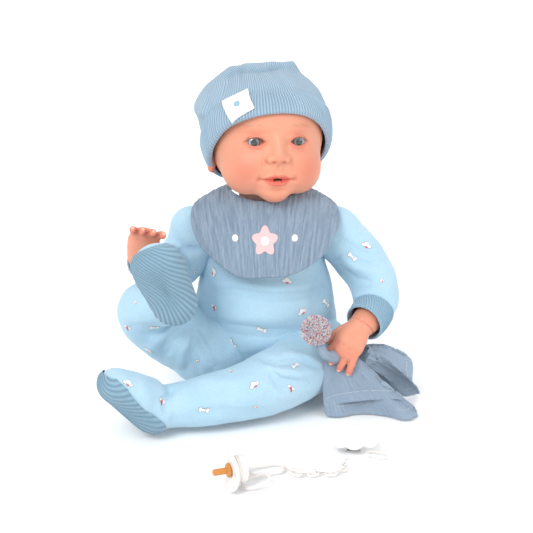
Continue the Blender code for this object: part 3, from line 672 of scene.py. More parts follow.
@dataclass(frozen=True)
class Vinyl:
    """Soft matt vinyl skin, painted where the piece's numbers say so: blush, brows, lips, nails and lashes as real
    paint, and painted shade in the creases and in the mouth slit.
    """

    name: str = "vinyl"
    base: RGB = (0.74, 0.33, 0.215)

    def make(self) -> bpy.types.Material:
        """Draws the material."""
        g = Graph(self.name)
        mottle = g.noise(g.place(), 40, 3)
        tone = g.blend(g.number("MULTIPLY", mottle, 0.35), self.base, (0.66, 0.27, 0.17))
        for name, paint, most in (
            ("blush", (0.62, 0.165, 0.115), 0.62),
            # painted shade in creases, hollows and dimples
            ("crease_shade", (0.50, 0.13, 0.08), 0.8),
            ("brow", (0.42, 0.17, 0.09), 0.5),
            ("lip", (0.66, 0.145, 0.105), 0.85),
            ("nail", (0.95, 0.60, 0.48), 0.6),
            ("lash", (0.13, 0.045, 0.03), 0.9),
            # painted shade: near black on the walls of the mouth slit
            ("mouth_slit_shade", (0.045, 0.010, 0.008), 1.0),
        ):
            tone = g.blend(g.number("MULTIPLY", g.attribute(name), most, True), tone, paint)
        g.colour(tone)
        g.settings(Roughness=0.46, Subsurface_Weight=0.22, Subsurface_Scale=0.004, Specular_IOR_Level=0.35)
        g.shader.inputs["Subsurface Radius"].default_value = (1.0, 0.35, 0.2)
        g.bump(g.noise(g.place(), 900, 2), 0.00006, 0.6)
        return g.material


@dataclass(frozen=True)
class Eye:
    """Glossy printed eye, round its own middle."""

    name: str
    middle: RGB  # metres
    gaze: RGB

    def make(self) -> bpy.types.Material:
        """Draws the material."""
        g = Graph(self.name)
        mapping = g.node("ShaderNodeMapping")
        mapping.inputs["Location"].default_value = tuple(-c for c in self.middle)
        g.link(g.node("ShaderNodeTexCoord").outputs["Object"], mapping.inputs["Vector"])
        unit = g.node("ShaderNodeVectorMath", operation="NORMALIZE")
        g.link(mapping.outputs[0], unit.inputs[0])
        dot = g.node("ShaderNodeVectorMath", operation="DOT_PRODUCT")
        dot.inputs[1].default_value = self.gaze
        g.link(unit.outputs[0], dot.inputs[0])
        away = g.number("MULTIPLY", g.number("ARCCOSINE", dot.outputs["Value"]), 1 / 0.8)
        rays = g.node("ShaderNodeVectorMath", operation="CROSS_PRODUCT")
        rays.inputs[1].default_value = self.gaze
        g.link(unit.outputs[0], rays.inputs[0])
        spoke = g.node("ShaderNodeVectorMath", operation="NORMALIZE")
        g.link(rays.outputs[0], spoke.inputs[0])
        streak = g.noise(spoke.outputs[0], 9, 3, 0.7)
        ring = g.number("ADD", away, g.number("MULTIPLY", g.number("SUBTRACT", streak, 0.5), 0.05))
        tone = g.steps(
            ring,
            (
                (0.0, (0.004, 0.004, 0.005)),
                (0.38, (0.005, 0.006, 0.008)),
                (0.42, (0.17, 0.20, 0.21)),
                (0.50, (0.36, 0.41, 0.42)),
                (0.66, (0.26, 0.31, 0.33)),
                (0.76, (0.035, 0.045, 0.055)),
                (0.82, (0.40, 0.38, 0.37)),
                (1.0, (0.52, 0.49, 0.48)),
            ),
        )
        g.colour(g.blend(g.number("MULTIPLY", streak, 0.25), tone, tuple(c * 0.5 for c in (0.3, 0.35, 0.36))))
        g.settings(Roughness=0.12, Coat_Weight=1.0, Coat_Roughness=0.03, Specular_IOR_Level=0.6)
        return g.material


@dataclass(frozen=True)
class Moulded:
    """Moulded plastic, rubber or paper."""

    name: str
    tone: RGB
    roughness: float = 0.35
    soft: float = 0.1
    metal: float = 0.0

    def make(self) -> bpy.types.Material:
        """Draws the material."""
        g = Graph(self.name)
        cloud = g.noise(g.place(), 60, 3)
        grain = g.noise(g.place(), 1100, 2)
        g.colour(g.blend(g.number("MULTIPLY", cloud, 0.5), self.tone, tuple(c * 0.86 for c in self.tone)))
        g.settings(Metallic=self.metal, Subsurface_Weight=self.soft, Subsurface_Scale=0.003)
        rough = g.number("ADD", g.number("MULTIPLY", cloud, 0.14), self.roughness - 0.07)
        g.link(rough, g.shader.inputs["Roughness"])
        g.bump(grain, 0.00003, 0.5)
        return g.material


@dataclass(frozen=True)
class Yarn:
    """Cut yarn whose colour each tuft picks."""

    name: str = "pompom_yarn"

    def make(self) -> bpy.types.Material:
        """Draws the material."""
        g = Graph(self.name)
        tone = g.steps(
            g.attribute("tint"),
            (
                (0.0, (0.80, 0.74, 0.72)),
                (0.40, (0.58, 0.12, 0.15)),
                (0.52, (0.12, 0.18, 0.32)),
                (0.66, (0.72, 0.42, 0.44)),
                (0.78, (0.40, 0.54, 0.64)),
            ),
            hard=True,
        )
        fibre = g.noise(g.place(), 2500, 2)
        g.colour(g.blend(g.number("MULTIPLY", fibre, 0.3), tone, (0.35, 0.28, 0.30)))
        g.settings(Roughness=0.95, Sheen_Weight=0.3)
        g.bump(fibre, 0.0001)
        return g.material


@dataclass
class Wardrobe:
    """Every finish, made once and asked for by name."""

    made: dict[str, bpy.types.Material] = field(default_factory=dict)

    def __post_init__(self) -> None:
        """Draws the materials."""
        finishes = (
            Jersey(),
            Jersey("jersey_binding", (0.45, 0.61, 0.72), (0.34, 0.52, 0.66)),
            Print("print_white", (0.88, 0.88, 0.88)),
            Print("print_grey", (0.16, 0.18, 0.21)),
            Print("print_red", (0.72, 0.10, 0.12)),
            Print("print_pink", (0.83, 0.55, 0.56)),
            Print("stitch_pale", (0.62, 0.68, 0.74)),
            Print("stitch_blue", (0.30, 0.50, 0.64)),
            RibKnit("rib_hat", (0.41, 0.54, 0.65), (0.20, 0.32, 0.43)),
            RibKnit("rib_cuff", (0.36, 0.52, 0.63), (0.18, 0.33, 0.44), depth=0.0003),
            RibKnit("rib_sole", (0.28, 0.43, 0.53), (0.14, 0.25, 0.34), pitch=2.3),
            Muslin("muslin_bib", (0.29, 0.37, 0.46), (0.13, 0.19, 0.275)),
            Muslin("muslin_cloth", (0.36, 0.45, 0.55), (0.25, 0.325, 0.42), 0.55),
            Vinyl(),
            Yarn(),
            Moulded("body_cloth", (0.62, 0.38, 0.29), 0.9, 0.0),
            Print("label", (0.86, 0.85, 0.85)),
            Moulded("box_plastic", (0.85, 0.85, 0.83), 0.4),
            Moulded("board", (0.05, 0.25, 0.10), 0.5, 0.0),
            Moulded("steel", (0.60, 0.60, 0.60), 0.28, 0.0, 1.0),
            Moulded("cone_paper", (0.08, 0.08, 0.08), 0.7, 0.0),
            Moulded("white_plastic", (0.82, 0.79, 0.765), 0.30, 0.15),
            Moulded("teat_rubber", (0.60, 0.24, 0.045), 0.35, 0.2),
            Moulded("lead_sheath", (0.10, 0.10, 0.10), 0.5, 0.0),
            Moulded("eye_white", (0.8, 0.78, 0.76), 0.2, 0.0),
        )
        for finish in finishes:
            self.made[finish.name] = finish.make()

    def dress(self, piece: bpy.types.Object, *names: str) -> bpy.types.Object:
        """Gives a piece its finishes, the first on every face that has none."""
        piece.data.materials.clear()
        for name in names:
            piece.data.materials.append(self.made[name])
        return piece


SKULL = np.array(
    [(14, 8, 10, 0), (19, 20, 22, 0), (25, 33, 37, -7), (34, 40, 45, -6), (46, 44, 50, -3), (58, 47, 54, 1), (70, 48, 56, 3),
     (82, 48, 55.5, 4), (94, 44, 50, 5), (104, 35, 40, 6), (110, 22, 26, 6), (113, 8, 10, 6)], float,
)  # height, half width, half depth and middle of each level of the head, in mm
HEAD_MIDDLE = np.array((0.0, 2.0, 60.0))


def skull_field(p: np.ndarray) -> np.ndarray:
    """Signed distance, roughly, to the plain skull; points in mm of the head."""
    z = np.clip(p[:, 2], SKULL[0, 0], SKULL[-1, 0])
    at = np.linspace(SKULL[0, 0], SKULL[-1, 0], 200)
    kernel = np.exp(-np.linspace(-2, 2, 25) ** 2)
    kernel /= kernel.sum()
    half = []
    for k in (1, 2, 3):
        level = np.interp(at, SKULL[:, 0], SKULL[:, k])
        half.append(
            np.interp(
                z, at,
                np.convolve(np.pad(level, 12, mode="reflect", reflect_type="odd"), kernel, mode="valid")
            )
        )
    a, b, c = half
    beyond = np.maximum(p[:, 2] - SKULL[-1, 0], 0) + np.maximum(SKULL[0, 0] - p[:, 2], 0)
    flat = (np.hypot(p[:, 0] / a, (p[:, 1] - c) / b) - 1) * np.minimum(a, b)
    return np.where(beyond > 0, np.hypot(np.maximum(flat, 0), beyond), flat)


def melt(a: np.ndarray, b: np.ndarray, k: float) -> np.ndarray:
    """Smooth union of two fields."""
    h = np.clip(0.5 + 0.5 * (b - a) / k, 0, 1)
    return b * (1 - h) + a * h - k * h * (1 - h)


def ball_field(p: np.ndarray, centre: Sequence[float], radii: Sequence[float]) -> np.ndarray:
    """Signed distance, roughly, to an ellipsoid."""
    q = (p - np.array(centre)) / np.array(radii)
    return (np.linalg.norm(q, axis=1) - 1) * min(radii)


def cast(
    directions: np.ndarray, middle: np.ndarray, shape: Callable[[np.ndarray], np.ndarray], far: float = 90
) -> np.ndarray:
    """Where lines from a middle leave a shape.

    Args:
        directions: Unit ways, (n, 3).
        middle: Where the lines start, inside the shape, in mm.
        shape: The field whose zero is the surface.
        far: A distance outside the shape, in mm.

    Returns:
        Points in mm.
    """
    low, high = np.zeros(len(directions)), np.full(len(directions), far)
    for _ in range(32):
        mid = (low + high) / 2
        out = shape(middle + directions * mid[:, None]) > 0
        high, low = np.where(out, mid, high), np.where(out, low, mid)
    return middle + directions * low[:, None]


def from_head(p: np.ndarray) -> np.ndarray:
    """Points in mm of the head, as metres of the row frame."""
    m = np.array(HEAD_POSE)
    return (p * MM) @ m[:3, :3].T + m[:3, 3]


@dataclass
class DollHead:
    """Rotocast vinyl head with painted face, glass-like eyes and ears."""

    wardrobe: Wardrobe
    eye_at: tuple[float, float, float] = (17.6, -38.2, 60.0)
    eye_radius: float = 8.2
    eye_half: tuple[float, float, float] = (6.9, 3.5, 2.9)  # half width, upper and lower height
    mouth_half: float = 13.6
    # x, z, spread in x and z, height out of the face; the second list is mirrored
    middle_forms: tuple[tuple[float, ...], ...] = (
        (0, 88, 26, 12, 1.2), (0, 57.5, 3.8, 6.5, 1.8), (0, 40.6, 1.2, 3.2, -0.75), (0, 32.6, 1.7, 1.0, 1.5),
        (0, 26.9, 5.5, 1.9, 1.7), (0, 21.8, 8.0, 2.1, -1.9), (0, 14.5, 6.5, 4.0, 1.0), (0, 37.0, 9.0, 4.0, 0.6),
    )
    side_forms: tuple[tuple[float, ...], ...] = (
        (18.2, 60.5, 9.5, 6.0, -1.5), (8.6, 59.5, 2.8, 4.0, -1.5), (18, 70.8, 10, 2.6, 1.1), (2.7, 40.4, 1.1, 3.4, 0.55),
        (4.0, 33.3, 3.4, 1.5, 2.2), (8.2, 32.0, 2.6, 1.1, 0.9), (4.3, 27.0, 3.6, 1.8, 1.3), (14.6, 30.2, 1.9, 2.2, -1.5), (18.5, 27, 4.0, 6.0, 1.2),
        (11.8, 42, 1.8, 5.5, -0.9), (24, 38, 11, 11, 1.6), (18, 54.2, 8, 1.5, -0.45), (18, 66.6, 8, 0.9, -0.5), (31, 66, 6, 9, -0.8),
    )

    def almond(self, x: np.ndarray, z: np.ndarray) -> np.ndarray:
        """How far outside the nearer eye's opening a spot lies, in mm; below 0 inside."""
        u, v = np.abs(x) - self.eye_at[0], z - self.eye_at[2]
        v = v + 0.045 * u  # the outer corner sits a little lower
        half, top, low = self.eye_half
        t = np.clip(np.abs(u) / half, 0, 1)
        rim = np.where(v > 0, top * (1 - t**2.1) ** 0.8, low * (1 - t**2.0) ** 0.9)
        inside = np.abs(v) - rim
        return np.where(np.abs(u) > half, np.hypot(np.abs(u) - half, v), inside * 0.85)

    def lip_line(self, x: np.ndarray) -> np.ndarray:
        """Height of the line between the lips."""
        return 30.1 + 0.5 * np.exp(-((x / 2.2) ** 2)) - 0.35 * np.exp(-(((np.abs(x) - 6) / 3.0) ** 2)) + 0.2 * (np.abs(x) / 13) ** 2

    def field(self, p: np.ndarray) -> np.ndarray:
        """The head's field with its face."""
        x, y, z = p.T
        f = skull_field(p)
        for side in (-1, 1):
            f = melt(f, ball_field(p, (20 * side, -27, 35), (20, 20, 19.5)), 9)
        f = melt(f, ball_field(p, (0, -37.5, 23.5), (14.5, 14, 13)), 7)
        f = melt(f, ball_field(p, (0, -51.2, 54.5), (3.6, 4.0, 9)), 6)
        f = melt(f, ball_field(p, (0, -54.2, 48.8), (5.5, 5.0, 4.6)), 4)
        for side in (-1, 1):
            f = melt(f, ball_field(p, (6.6 * side, -52.0, 46.9), (3.5, 4.2, 3.1)), 2.6)
            nostril = ball_field(p, (3.9 * side, -56.4, 44.2), (1.9, 2.6, 1.5))
            f = -melt(-f, nostril, 1.0)
        front = smooth(-y, 8, 26)
        out = np.zeros_like(x)
        for cx, cz, sx, sz, height in self.middle_forms:
            out += height * np.exp(-(((x - cx) / sx) ** 2) - ((z - cz) / sz) ** 2)
        for cx, cz, sx, sz, height in self.side_forms:
            out += height * np.exp(-(((np.abs(x) - cx) / sx) ** 2) - ((z - cz) / sz) ** 2)
        reach = np.sqrt(np.clip(1 - (x / self.mouth_half) ** 2, 0, 1))
        out -= 1.5 * np.exp(-(((z - self.lip_line(x)) / 0.62) ** 2)) * reach
        rim = self.almond(x, z)
        out += 0.75 * np.exp(-(((rim - 1.0) / 1.0) ** 2)) * (np.abs(x) > 6)
        return f - out * front

    def build(self) -> None:
        """Makes the head, its ears and its eyes, and puts them on the head."""
        deselect()
        bpy.ops.mesh.primitive_uv_sphere_add(segments=112, ring_count=84, radius=1.0)
        shell = bpy.context.object
        shell.name = "face_and_head"
        co = coords(shell)
        for centre, reach in (((0, -1, -0.28), 0.80), ((0, -1, -0.30), 0.55), ((0.0, -1.0, -0.35), 0.40)):
            mesh = bmesh.new()
            mesh.from_mesh(shell.data)
            way = Vector(centre).normalized()
            limit = math.cos(reach)
            edges = [e for e in mesh.edges if all(v.co.normalized().dot(way) > limit for v in e.verts)]
            bmesh.ops.subdivide_edges(mesh, edges=edges, cuts=1, use_grid_fill=True, smooth=0)
            bmesh.ops.triangulate(mesh, faces=[f for f in mesh.faces if len(f.verts) > 4])
            mesh.to_mesh(shell.data)
            mesh.free()
        co = coords(shell)
        ways = co / np.linalg.norm(co, axis=1)[:, None]
        set_coords(shell, cast(ways, HEAD_MIDDLE, self.field) * MM)
        self.open_eyes_and_mouth(shell)
        self.paint(shell)
        ears = [self.ear(side) for side in Side]
        head = joined("face_and_head", [shell, *ears])
        m = np.array(FACE_TURN)
        set_coords(head, from_head((coords(head) @ m[:3, :3].T + m[:3, 3]) / MM))
        pick(head)
        bpy.ops.object.shade_smooth_by_angle(angle=math.radians(50))
        self.wardrobe.dress(head, "vinyl")
        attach(head, "head")
        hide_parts("head_shell")
        LOG.info("head: %d faces", len(head.data.polygons))
        for side in Side:
            self.eye(side)

    def open_eyes_and_mouth(self, shell: bpy.types.Object) -> None:
        """Cuts the lids' openings and the parting of the lips."""
        outlines = []
        for sign in (-1, 1):
            turn = np.linspace(0, 2 * np.pi, 56, endpoint=False)
            half, top, low = self.eye_half
            u = half * np.cos(turn)
            t = np.clip(np.abs(u) / half, 0, 1)
            v = np.where(np.sin(turn) >= 0, top * (1 - t**2.1) ** 0.8, -low * (1 - t**2.0) ** 0.9) - 0.045 * u
            outlines.append((sign * (self.eye_at[0] + u), self.eye_at[2] + v, -44.0))
        turn = np.linspace(0, 2 * np.pi, 28, endpoint=False)
        u = 3.2 * np.cos(turn)
        v = np.sin(turn) * 0.34
        outlines.append((u, self.lip_line(u) + v - 0.1, -48.5))
        for n, (x, z, back) in enumerate(outlines):
            rings = np.stack([np.stack([x, np.full_like(x, y), z], 1) for y in (-66.0, back)]) * MM
            tool = lofted(f"opening_{n}", rings, caps=True)
            cut = shell.modifiers.new("opening", "BOOLEAN")
            cut.operation, cut.solver, cut.object = "DIFFERENCE", "EXACT", tool
            pick(shell)
            bpy.ops.object.modifier_apply(modifier=cut.name)
            bpy.data.objects.remove(tool, do_unlink=True)

    def paint(self, shell: bpy.types.Object) -> None:
        """Stores where the face is tinted, and where shade is painted into its creases and its mouth slit."""
        p = coords(shell) / MM
        x, y, z = p.T
        front = smooth(-y, 10, 28)

        def patch(cx: float, cz: float, sx: float, sz: float, both: bool = True) -> np.ndarray:
            return np.exp(-((((np.abs(x) if both else x) - cx) / sx) ** 2) - ((z - cz) / sz) ** 2)

        blush = 0.95 * patch(25, 37, 11, 13) + 0.45 * patch(0, 14, 10, 6, False) + 0.35 * patch(0, 49, 6, 4, False)
        blush += 0.55 * patch(18, 69, 12, 4) + 0.4 * patch(18, 54, 9, 3) + 0.25 * patch(0, 92, 30, 10, False) + 0.35 * patch(0, 22, 7, 2.5, False)
        rim = self.almond(x, z)
        near_eye = (np.abs(x) > 5) & (y < -30)
        blush += 0.7 * np.exp(-((rim / 2.6) ** 2)) * near_eye
        # painted shade along the lip parting, at the mouth corners, in the nostrils and beside the nose, under the
        # lower lip and round the lids
        crease_shade = np.exp(-(((z - self.lip_line(x)) / 0.55) ** 2)) * smooth(self.mouth_half - np.abs(x), 0.0, 2.0) * 1.1
        crease_shade += 0.8 * patch(14.2, 30.2, 1.5, 1.2) + 0.9 * patch(3.9, 44.6, 1.6, 1.1) * (y < -50)
        crease_shade += 0.55 * patch(9.9, 45.5, 1.0, 2.2) + 0.35 * patch(0, 22.0, 5.5, 1.2, False)
        crease_shade += 0.6 * np.exp(-(((rim - 1.9) / 0.5) ** 2)) * (z > self.eye_at[2] + 1.0) * near_eye
        crease_shade += 0.45 * np.exp(-(((rim - 0.5) / 0.7) ** 2)) * (z < self.eye_at[2]) * near_eye
        upper = 34.7 - 0.9 * np.exp(-((x / 1.5) ** 2)) - 3.9 * (np.abs(x) / 12.2) ** 1.7
        lower = 30.0 - 5.2 * np.sqrt(np.clip(1 - (x / 10.8) ** 2, 0, 1))
        lip = smooth(upper - z, -0.35, 0.55) * smooth(z - lower, -0.4, 0.9) * smooth(12.8 - np.abs(x), -0.5, 4.5)
        brow_at = 71.8 + 1.6 * np.cos((np.abs(x) - 19) / 8) - 0.10 * (np.abs(x) - 19)
        hair = 0.6 + 0.4 * np.sin(np.abs(x) * 5.5 + z * 3.0)
        brow = np.exp(-(((z - brow_at) / 1.1) ** 2)) * smooth(10.5 - np.abs(np.abs(x) - 19), 0, 6) * hair
        lash = np.exp(-(((rim - 0.35) / 0.42) ** 2)) * (z > self.eye_at[2] + 0.2) * near_eye
        lash += np.exp(-(((rim - 1.2) / 0.9) ** 2)) * (np.abs(x) > self.eye_at[0] + 5.2) * (z > self.eye_at[2] - 0.8) * near_eye * 0.5
        # painted shade: near black on the walls of the mouth slit, behind the lips
        mouth_slit_shade = (np.abs(x) < 3.4) * (np.abs(z - self.lip_line(x)) < 0.5) * smooth(y, -52.2, -50.5) * (y < -46)
        for name, values in (
            ("blush", blush), ("crease_shade", crease_shade), ("lip", lip), ("brow", brow), ("lash", lash), ("mouth_slit_shade", mouth_slit_shade)
        ):
            put_attribute(shell, name, np.clip(values * (1.0 if name == "mouth_slit_shade" else front), 0, 1))

    def ear(self, side: Side) -> bpy.types.Object:
        """One ear: a cupped shell with its rim and lobe."""
        sign = -1 if side is Side.RIGHT else 1
        deselect()
        bpy.ops.mesh.primitive_uv_sphere_add(segments=40, ring_count=28, radius=1.0)
        ear = bpy.context.object
        co = coords(ear)
        x, y, z = co.T
        edge = np.hypot(y, z)
        bowl = -0.55 * np.exp(-((edge / 0.5) ** 2)) + 0.25 * np.exp(-(((edge - 0.8) / 0.16) ** 2))
        co[:, 0] = x + np.where(x > 0, bowl, 0)
        co[:, 1] = y * (0.80 + 0.22 * z)
        p = co * np.array((3.8, 8.0, 12.5))
        turn = np.array(Matrix.Rotation(0.42, 3, "Z") @ Matrix.Rotation(-0.10, 3, "X"))
        p = (p @ turn.T) * np.array((sign, 1, 1)) + np.array((43.6 * sign, 3.0, 42.0))
        set_coords(ear, p * MM)
        put_attribute(ear, "blush", np.full(len(p), 0.55))
        # painted shade in the ear's hollow bowl
        put_attribute(ear, "crease_shade", np.clip(0.6 * np.exp(-((edge / 0.45) ** 2)), 0, 1))
        return outward(ear)

    def eye(self, side: Side) -> None:
        """One eye, with its iris looking ahead."""
        sign = -1 if side is Side.RIGHT else 1
        middle = HEAD_POSE @ FACE_TURN @ (
            Vector((sign * self.eye_at[0], self.eye_at[1], self.eye_at[2])) * MM
        )
        gaze = ((HEAD_POSE @ FACE_TURN).to_3x3() @ Vector((0.10 * sign - 0.02, -1.0, -0.02))).normalized()
        deselect()
        bpy.ops.mesh.primitive_uv_sphere_add(
            segments=64, ring_count=40, radius=self.eye_radius * MM, location=middle
        )
        ball = settle(bpy.context.object)
        ball.name = f"eye_ball_{side.value}"
        pick(ball)
        bpy.ops.object.shade_smooth()
        co = coords(ball)
        away = (co - np.array(middle)) @ np.array(gaze) / (self.eye_radius * MM)
        set_coords(ball, co + np.array(gaze) * (0.45 * MM * smooth(away, 0.80, 0.95))[:, None])
        look = Eye(f"eye_{side.value}", tuple(middle), tuple(gaze)).make()
        ball.data.materials.append(look)
        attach(ball, "head")
        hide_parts(f"eye_{side.value}")
        LOG.info("eye %s done", side.value)


@dataclass
class Hat:
    """Ribbed cap: a bag with two corners, a folded cuff and a sewn label."""

    wardrobe: Wardrobe
    layer: float = 2.8
    rim_point: tuple[float, float, float] = (0.0, 0.0, 43.0)
    rim_tilt: float = -36.0

    def bag(self, p: np.ndarray) -> np.ndarray:
        """Field of the hat's outside."""
        f = skull_field(p) - self.layer - 1.4
        x, y, z = p.T
        f = f - smooth(z, 60, 92) * (2.6 * smooth(-x, 20, 44) - 0.6 * smooth(x, 20, 44))
        bag = -melt(-((x - 29) * 0.914 + (z - 118) * 0.406), (x + 23) * 0.6 - (z - 119.5) * 0.8, 2.2)
        bag = -melt(-bag, (x + 43) * 0.85 - (z - 104) * 0.52, 4)
        bag = -melt(-bag, -(z - 118.6 + 1.6 * np.exp(-(((x - 2) / 13) ** 2))), 1.8)
        bag = -melt(-bag, -(np.abs(y - 7) * 0.83 + (z - 119) * 0.55 - 3.2), 3)
        bag = -melt(-bag, z - 84, 6)
        f = melt(f, bag, 8)
        tuck = sum(
            a * np.exp(
                -(((x - cx) * math.cos(t) + (z - cz) * math.sin(t)) / w) ** 2 - (
                    (-(x - cx) * math.sin(t) + (z - cz) * math.cos(t)) / l
                ) ** 2
            )
            for cx, cz, w, l, t, a in (
                (-31, 104, 2.2, 9, -0.75, -2.6), (-38, 99, 3.0, 9, -0.65, 1.7), (-20, 108, 2.0, 8, -0.5, -1.6), (-14, 112, 2.6, 7, -0.3, 1.3),
                (8, 112, 2.2, 8, 0.6, -1.6), (18, 108, 3.0, 11, 0.5, 1.3), (-44, 84, 3.0, 14, 0.15, -1.4), (31, 96, 3.0, 14, 0.3, -1.2), (24, 110, 2.0, 8, 0.9, 1.2),
            )
        )
        return f - tuck * np.where(y < 10, 1.0, 0.35)

    def above(self, p: np.ndarray) -> np.ndarray:
        """Height over the rim, which sags towards the nape."""
        tilt = math.radians(-self.rim_tilt)
        q = p - np.array(self.rim_point)
        sag = 6.5 * smooth(p[:, 1], -48, 6) - 5.0 * smooth(p[:, 1], 8, 36)
        return q[:, 1] * math.sin(tilt) + q[:, 2] * math.cos(tilt) + sag

    def chart(self, p: np.ndarray) -> np.ndarray:
        """Distance round the head, in mm, so that the ribs stand upright."""
        turn = np.arctan2(p[:, 0], np.maximum(np.abs(p[:, 1] - 2.0), 1e-3))
        share = smooth(p[:, 2], 84, 122)
        return 52.0 * turn * (1 - share) + p[:, 0] * 1.15 * share

    def rows(
        self, low: float, high: float | None, count: int, columns: int,
        shape: Callable[[np.ndarray], np.ndarray]
    ) -> np.ndarray:
        """Rows of points on a shape, from one height over the rim up to another, or to the crown."""
        turn = np.linspace(0, 2 * np.pi, columns, endpoint=False)
        polar = np.linspace(0.0, 2.45, 130)
        grid = np.array(
            [
                [
                    math.sin(t) * math.sin(a), -math.sin(t) * math.cos(a), math.cos(t)
                ] for a in turn for t in polar
            ]
        )
        found = cast(grid, HEAD_MIDDLE, shape, 100).reshape(columns, len(polar), 3)
        height = self.above(found.reshape(-1, 3)).reshape(columns, len(polar))
        ends = []
        for wanted in (low, high):
            if wanted is None:
                ends.append(np.zeros(columns))
                continue
            below = height < wanted
            below[:, -1] = True
            first = below.argmax(axis=1)
            before = np.maximum(first - 1, 0)
            k = np.arange(columns)
            h0, h1 = height[k, before], height[k, first]
            ends.append(polar[before] + (h0 - wanted) / np.maximum(h0 - h1, 1e-6) * (polar[1] - polar[0]))
        shares = np.linspace(0, 1, count)[:, None]
        angle = ends[0] * (1 - shares) + ends[1] * shares
        if high is None:
            angle = ends[0] * (1 - shares) ** 0.92
        way = np.stack([np.sin(angle) * np.sin(turn), -np.sin(angle) * np.cos(turn), np.cos(angle)], -1)
        return cast(way.reshape(-1, 3), HEAD_MIDDLE, shape, 100).reshape(count, columns, 3)

    def build(self) -> None:
        """Makes crown, cuff and label."""
        crown_rows = self.rows(1.5, None, 110, 300, self.bag)
        around = self.chart(crown_rows.reshape(-1, 3)).reshape(110, 300)
        chart = np.stack([around, crown_rows[:, :, 2]], -1)
        chart = np.concatenate([chart, chart[:, :1]], 1)
        crown = lofted("hat_knit", from_head(crown_rows.reshape(-1, 3)).reshape(110, 300, 3), chart=chart)
        self.finish(crown, "hat_crown")
        columns = 1100
        profile = [
            (1.2, 3.0), (0.3, 4.0), (0.2, 5.6), (0.9, 6.9), (2.2, 7.7), (4, 8.0), (7, 8.1), (10, 8.1),
            (13, 8.0), (16, 7.8), (18.6, 7.4), (20.0, 6.9), (20.6, 6.2), (20.6, 5.4), (19.5, 4.6)
        ]
        bands = []
        for height, out in profile:
            bands.append(
                self.rows(
                    height, height, 1, columns, lambda p,
                    o=out: skull_field(p) - o - smooth(p[:, 2], 60, 92) * (
                        2.2 * smooth(-p[:, 0], 20, 44) - 0.4 * smooth(p[:, 0], 20, 44)
                    )
                )[0]
            )
        rings = np.array(bands)
        turn = np.arctan2(rings[:, :, 0], -(rings[:, :, 1] - 2.0))
        ridge = np.cos(52.0 * turn * 2 * np.pi / RIB_PITCH * 0.999)
        middle = rings.mean(1, keepdims=True)
        ways = rings - middle
        ways /= np.linalg.norm(ways, axis=2, keepdims=True)
        on_face = np.array([0, 0.3, 0.7, 1, 1, 1, 1, 1, 1, 1, 1, 0.9, 0.6, 0.2, 0])[:, None]
        rings = rings + ways * (0.34 * ridge * on_face)[:, :, None]
        chart = np.stack([52.0 * turn, np.array([p[0] for p in profile])[:, None] + 0 * turn], -1)
        chart = np.concatenate([chart, chart[:, :1]], 1)
        cuff = lofted("hat_folded_cuff", from_head(rings.reshape(-1, 3)).reshape(rings.shape), chart=chart)
        self.finish(cuff, "hat_cuff")
        self.label(crown, cuff)

    def finish(self, piece: bpy.types.Object, node: str) -> None:
        """Dresses a knitted piece and puts it on the head."""
        self.wardrobe.dress(piece, "rib_hat")
        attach(piece, "head")
        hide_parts(node)
        LOG.info("%s: %d faces", piece.name, len(piece.data.polygons))

    def label(self, crown: bpy.types.Object, cuff: bpy.types.Object) -> None:
        """A satin square on the cuff with one plain dot."""
        trees = [BVHTree.FromObject(one, bpy.context.evaluated_depsgraph_get()) for one in (crown, cuff)]
        out = Vector((-0.52, -0.74, 0.43)).normalized()
        up = Vector((0.12, 0.45, 0.9))
        across = up.cross(out).normalized() * -1
        up = out.cross(across).normalized() * -1
        if up.z < 0:
            up = -up
        across = up.cross(out).normalized()
        spin = Matrix.Rotation(0.42, 3, out)
        across, up = spin @ across, spin @ up
        spot = Vector((-27, -45, 92))
        n = 29

        def drape(u: float, v: float) -> float:
            start = HEAD_POSE @ ((spot + across * u + up * v + out * 25) * MM)
            way = (HEAD_POSE.to_3x3() @ -out).normalized()
            hits = [tree.ray_cast(start, way)[3] for tree in trees]
            return 25 - min([h for h in hits if h is not None] or [0.025]) / MM

        side = np.linspace(-11.2, 11.2, n)
        high = np.array([[drape(u, v) for u in side] for v in side])
        for _ in range(14):
            pad = np.pad(high, 1, mode="edge")
            high = np.maximum(high, (pad[:-2, 1:-1] + pad[2:, 1:-1] + pad[1:-1, :-2] + pad[1:-1, 2:]) / 4)
            pad = np.pad(high, 1, mode="edge")
            high = 0.5 * high + 0.125 * (pad[:-2, 1:-1] + pad[2:, 1:-1] + pad[1:-1, :-2] + pad[1:-1, 2:])
        frame = [np.array(v) for v in (across, up, out)]

        def at(u: np.ndarray, v: np.ndarray, lift: float) -> np.ndarray:
            iu, iv = (np.clip((w + 11.2) / 22.4 * (n - 1), 0, n - 1.001) for w in (u, v))
            i, j = iu.astype(int), iv.astype(int)
            fu, fv = iu - i, iv - j
            h = (high[j, i] * (1 - fu) + high[j, i + 1] * fu) * (1 - fv) + (
                high[j + 1, i] * (1 - fu) + high[j + 1, i + 1] * fu
            ) * fv
            return np.array(spot) + u[:, None] * frame[0] + v[:, None] * frame[1] + (h + lift)[:, None] * frame[2]

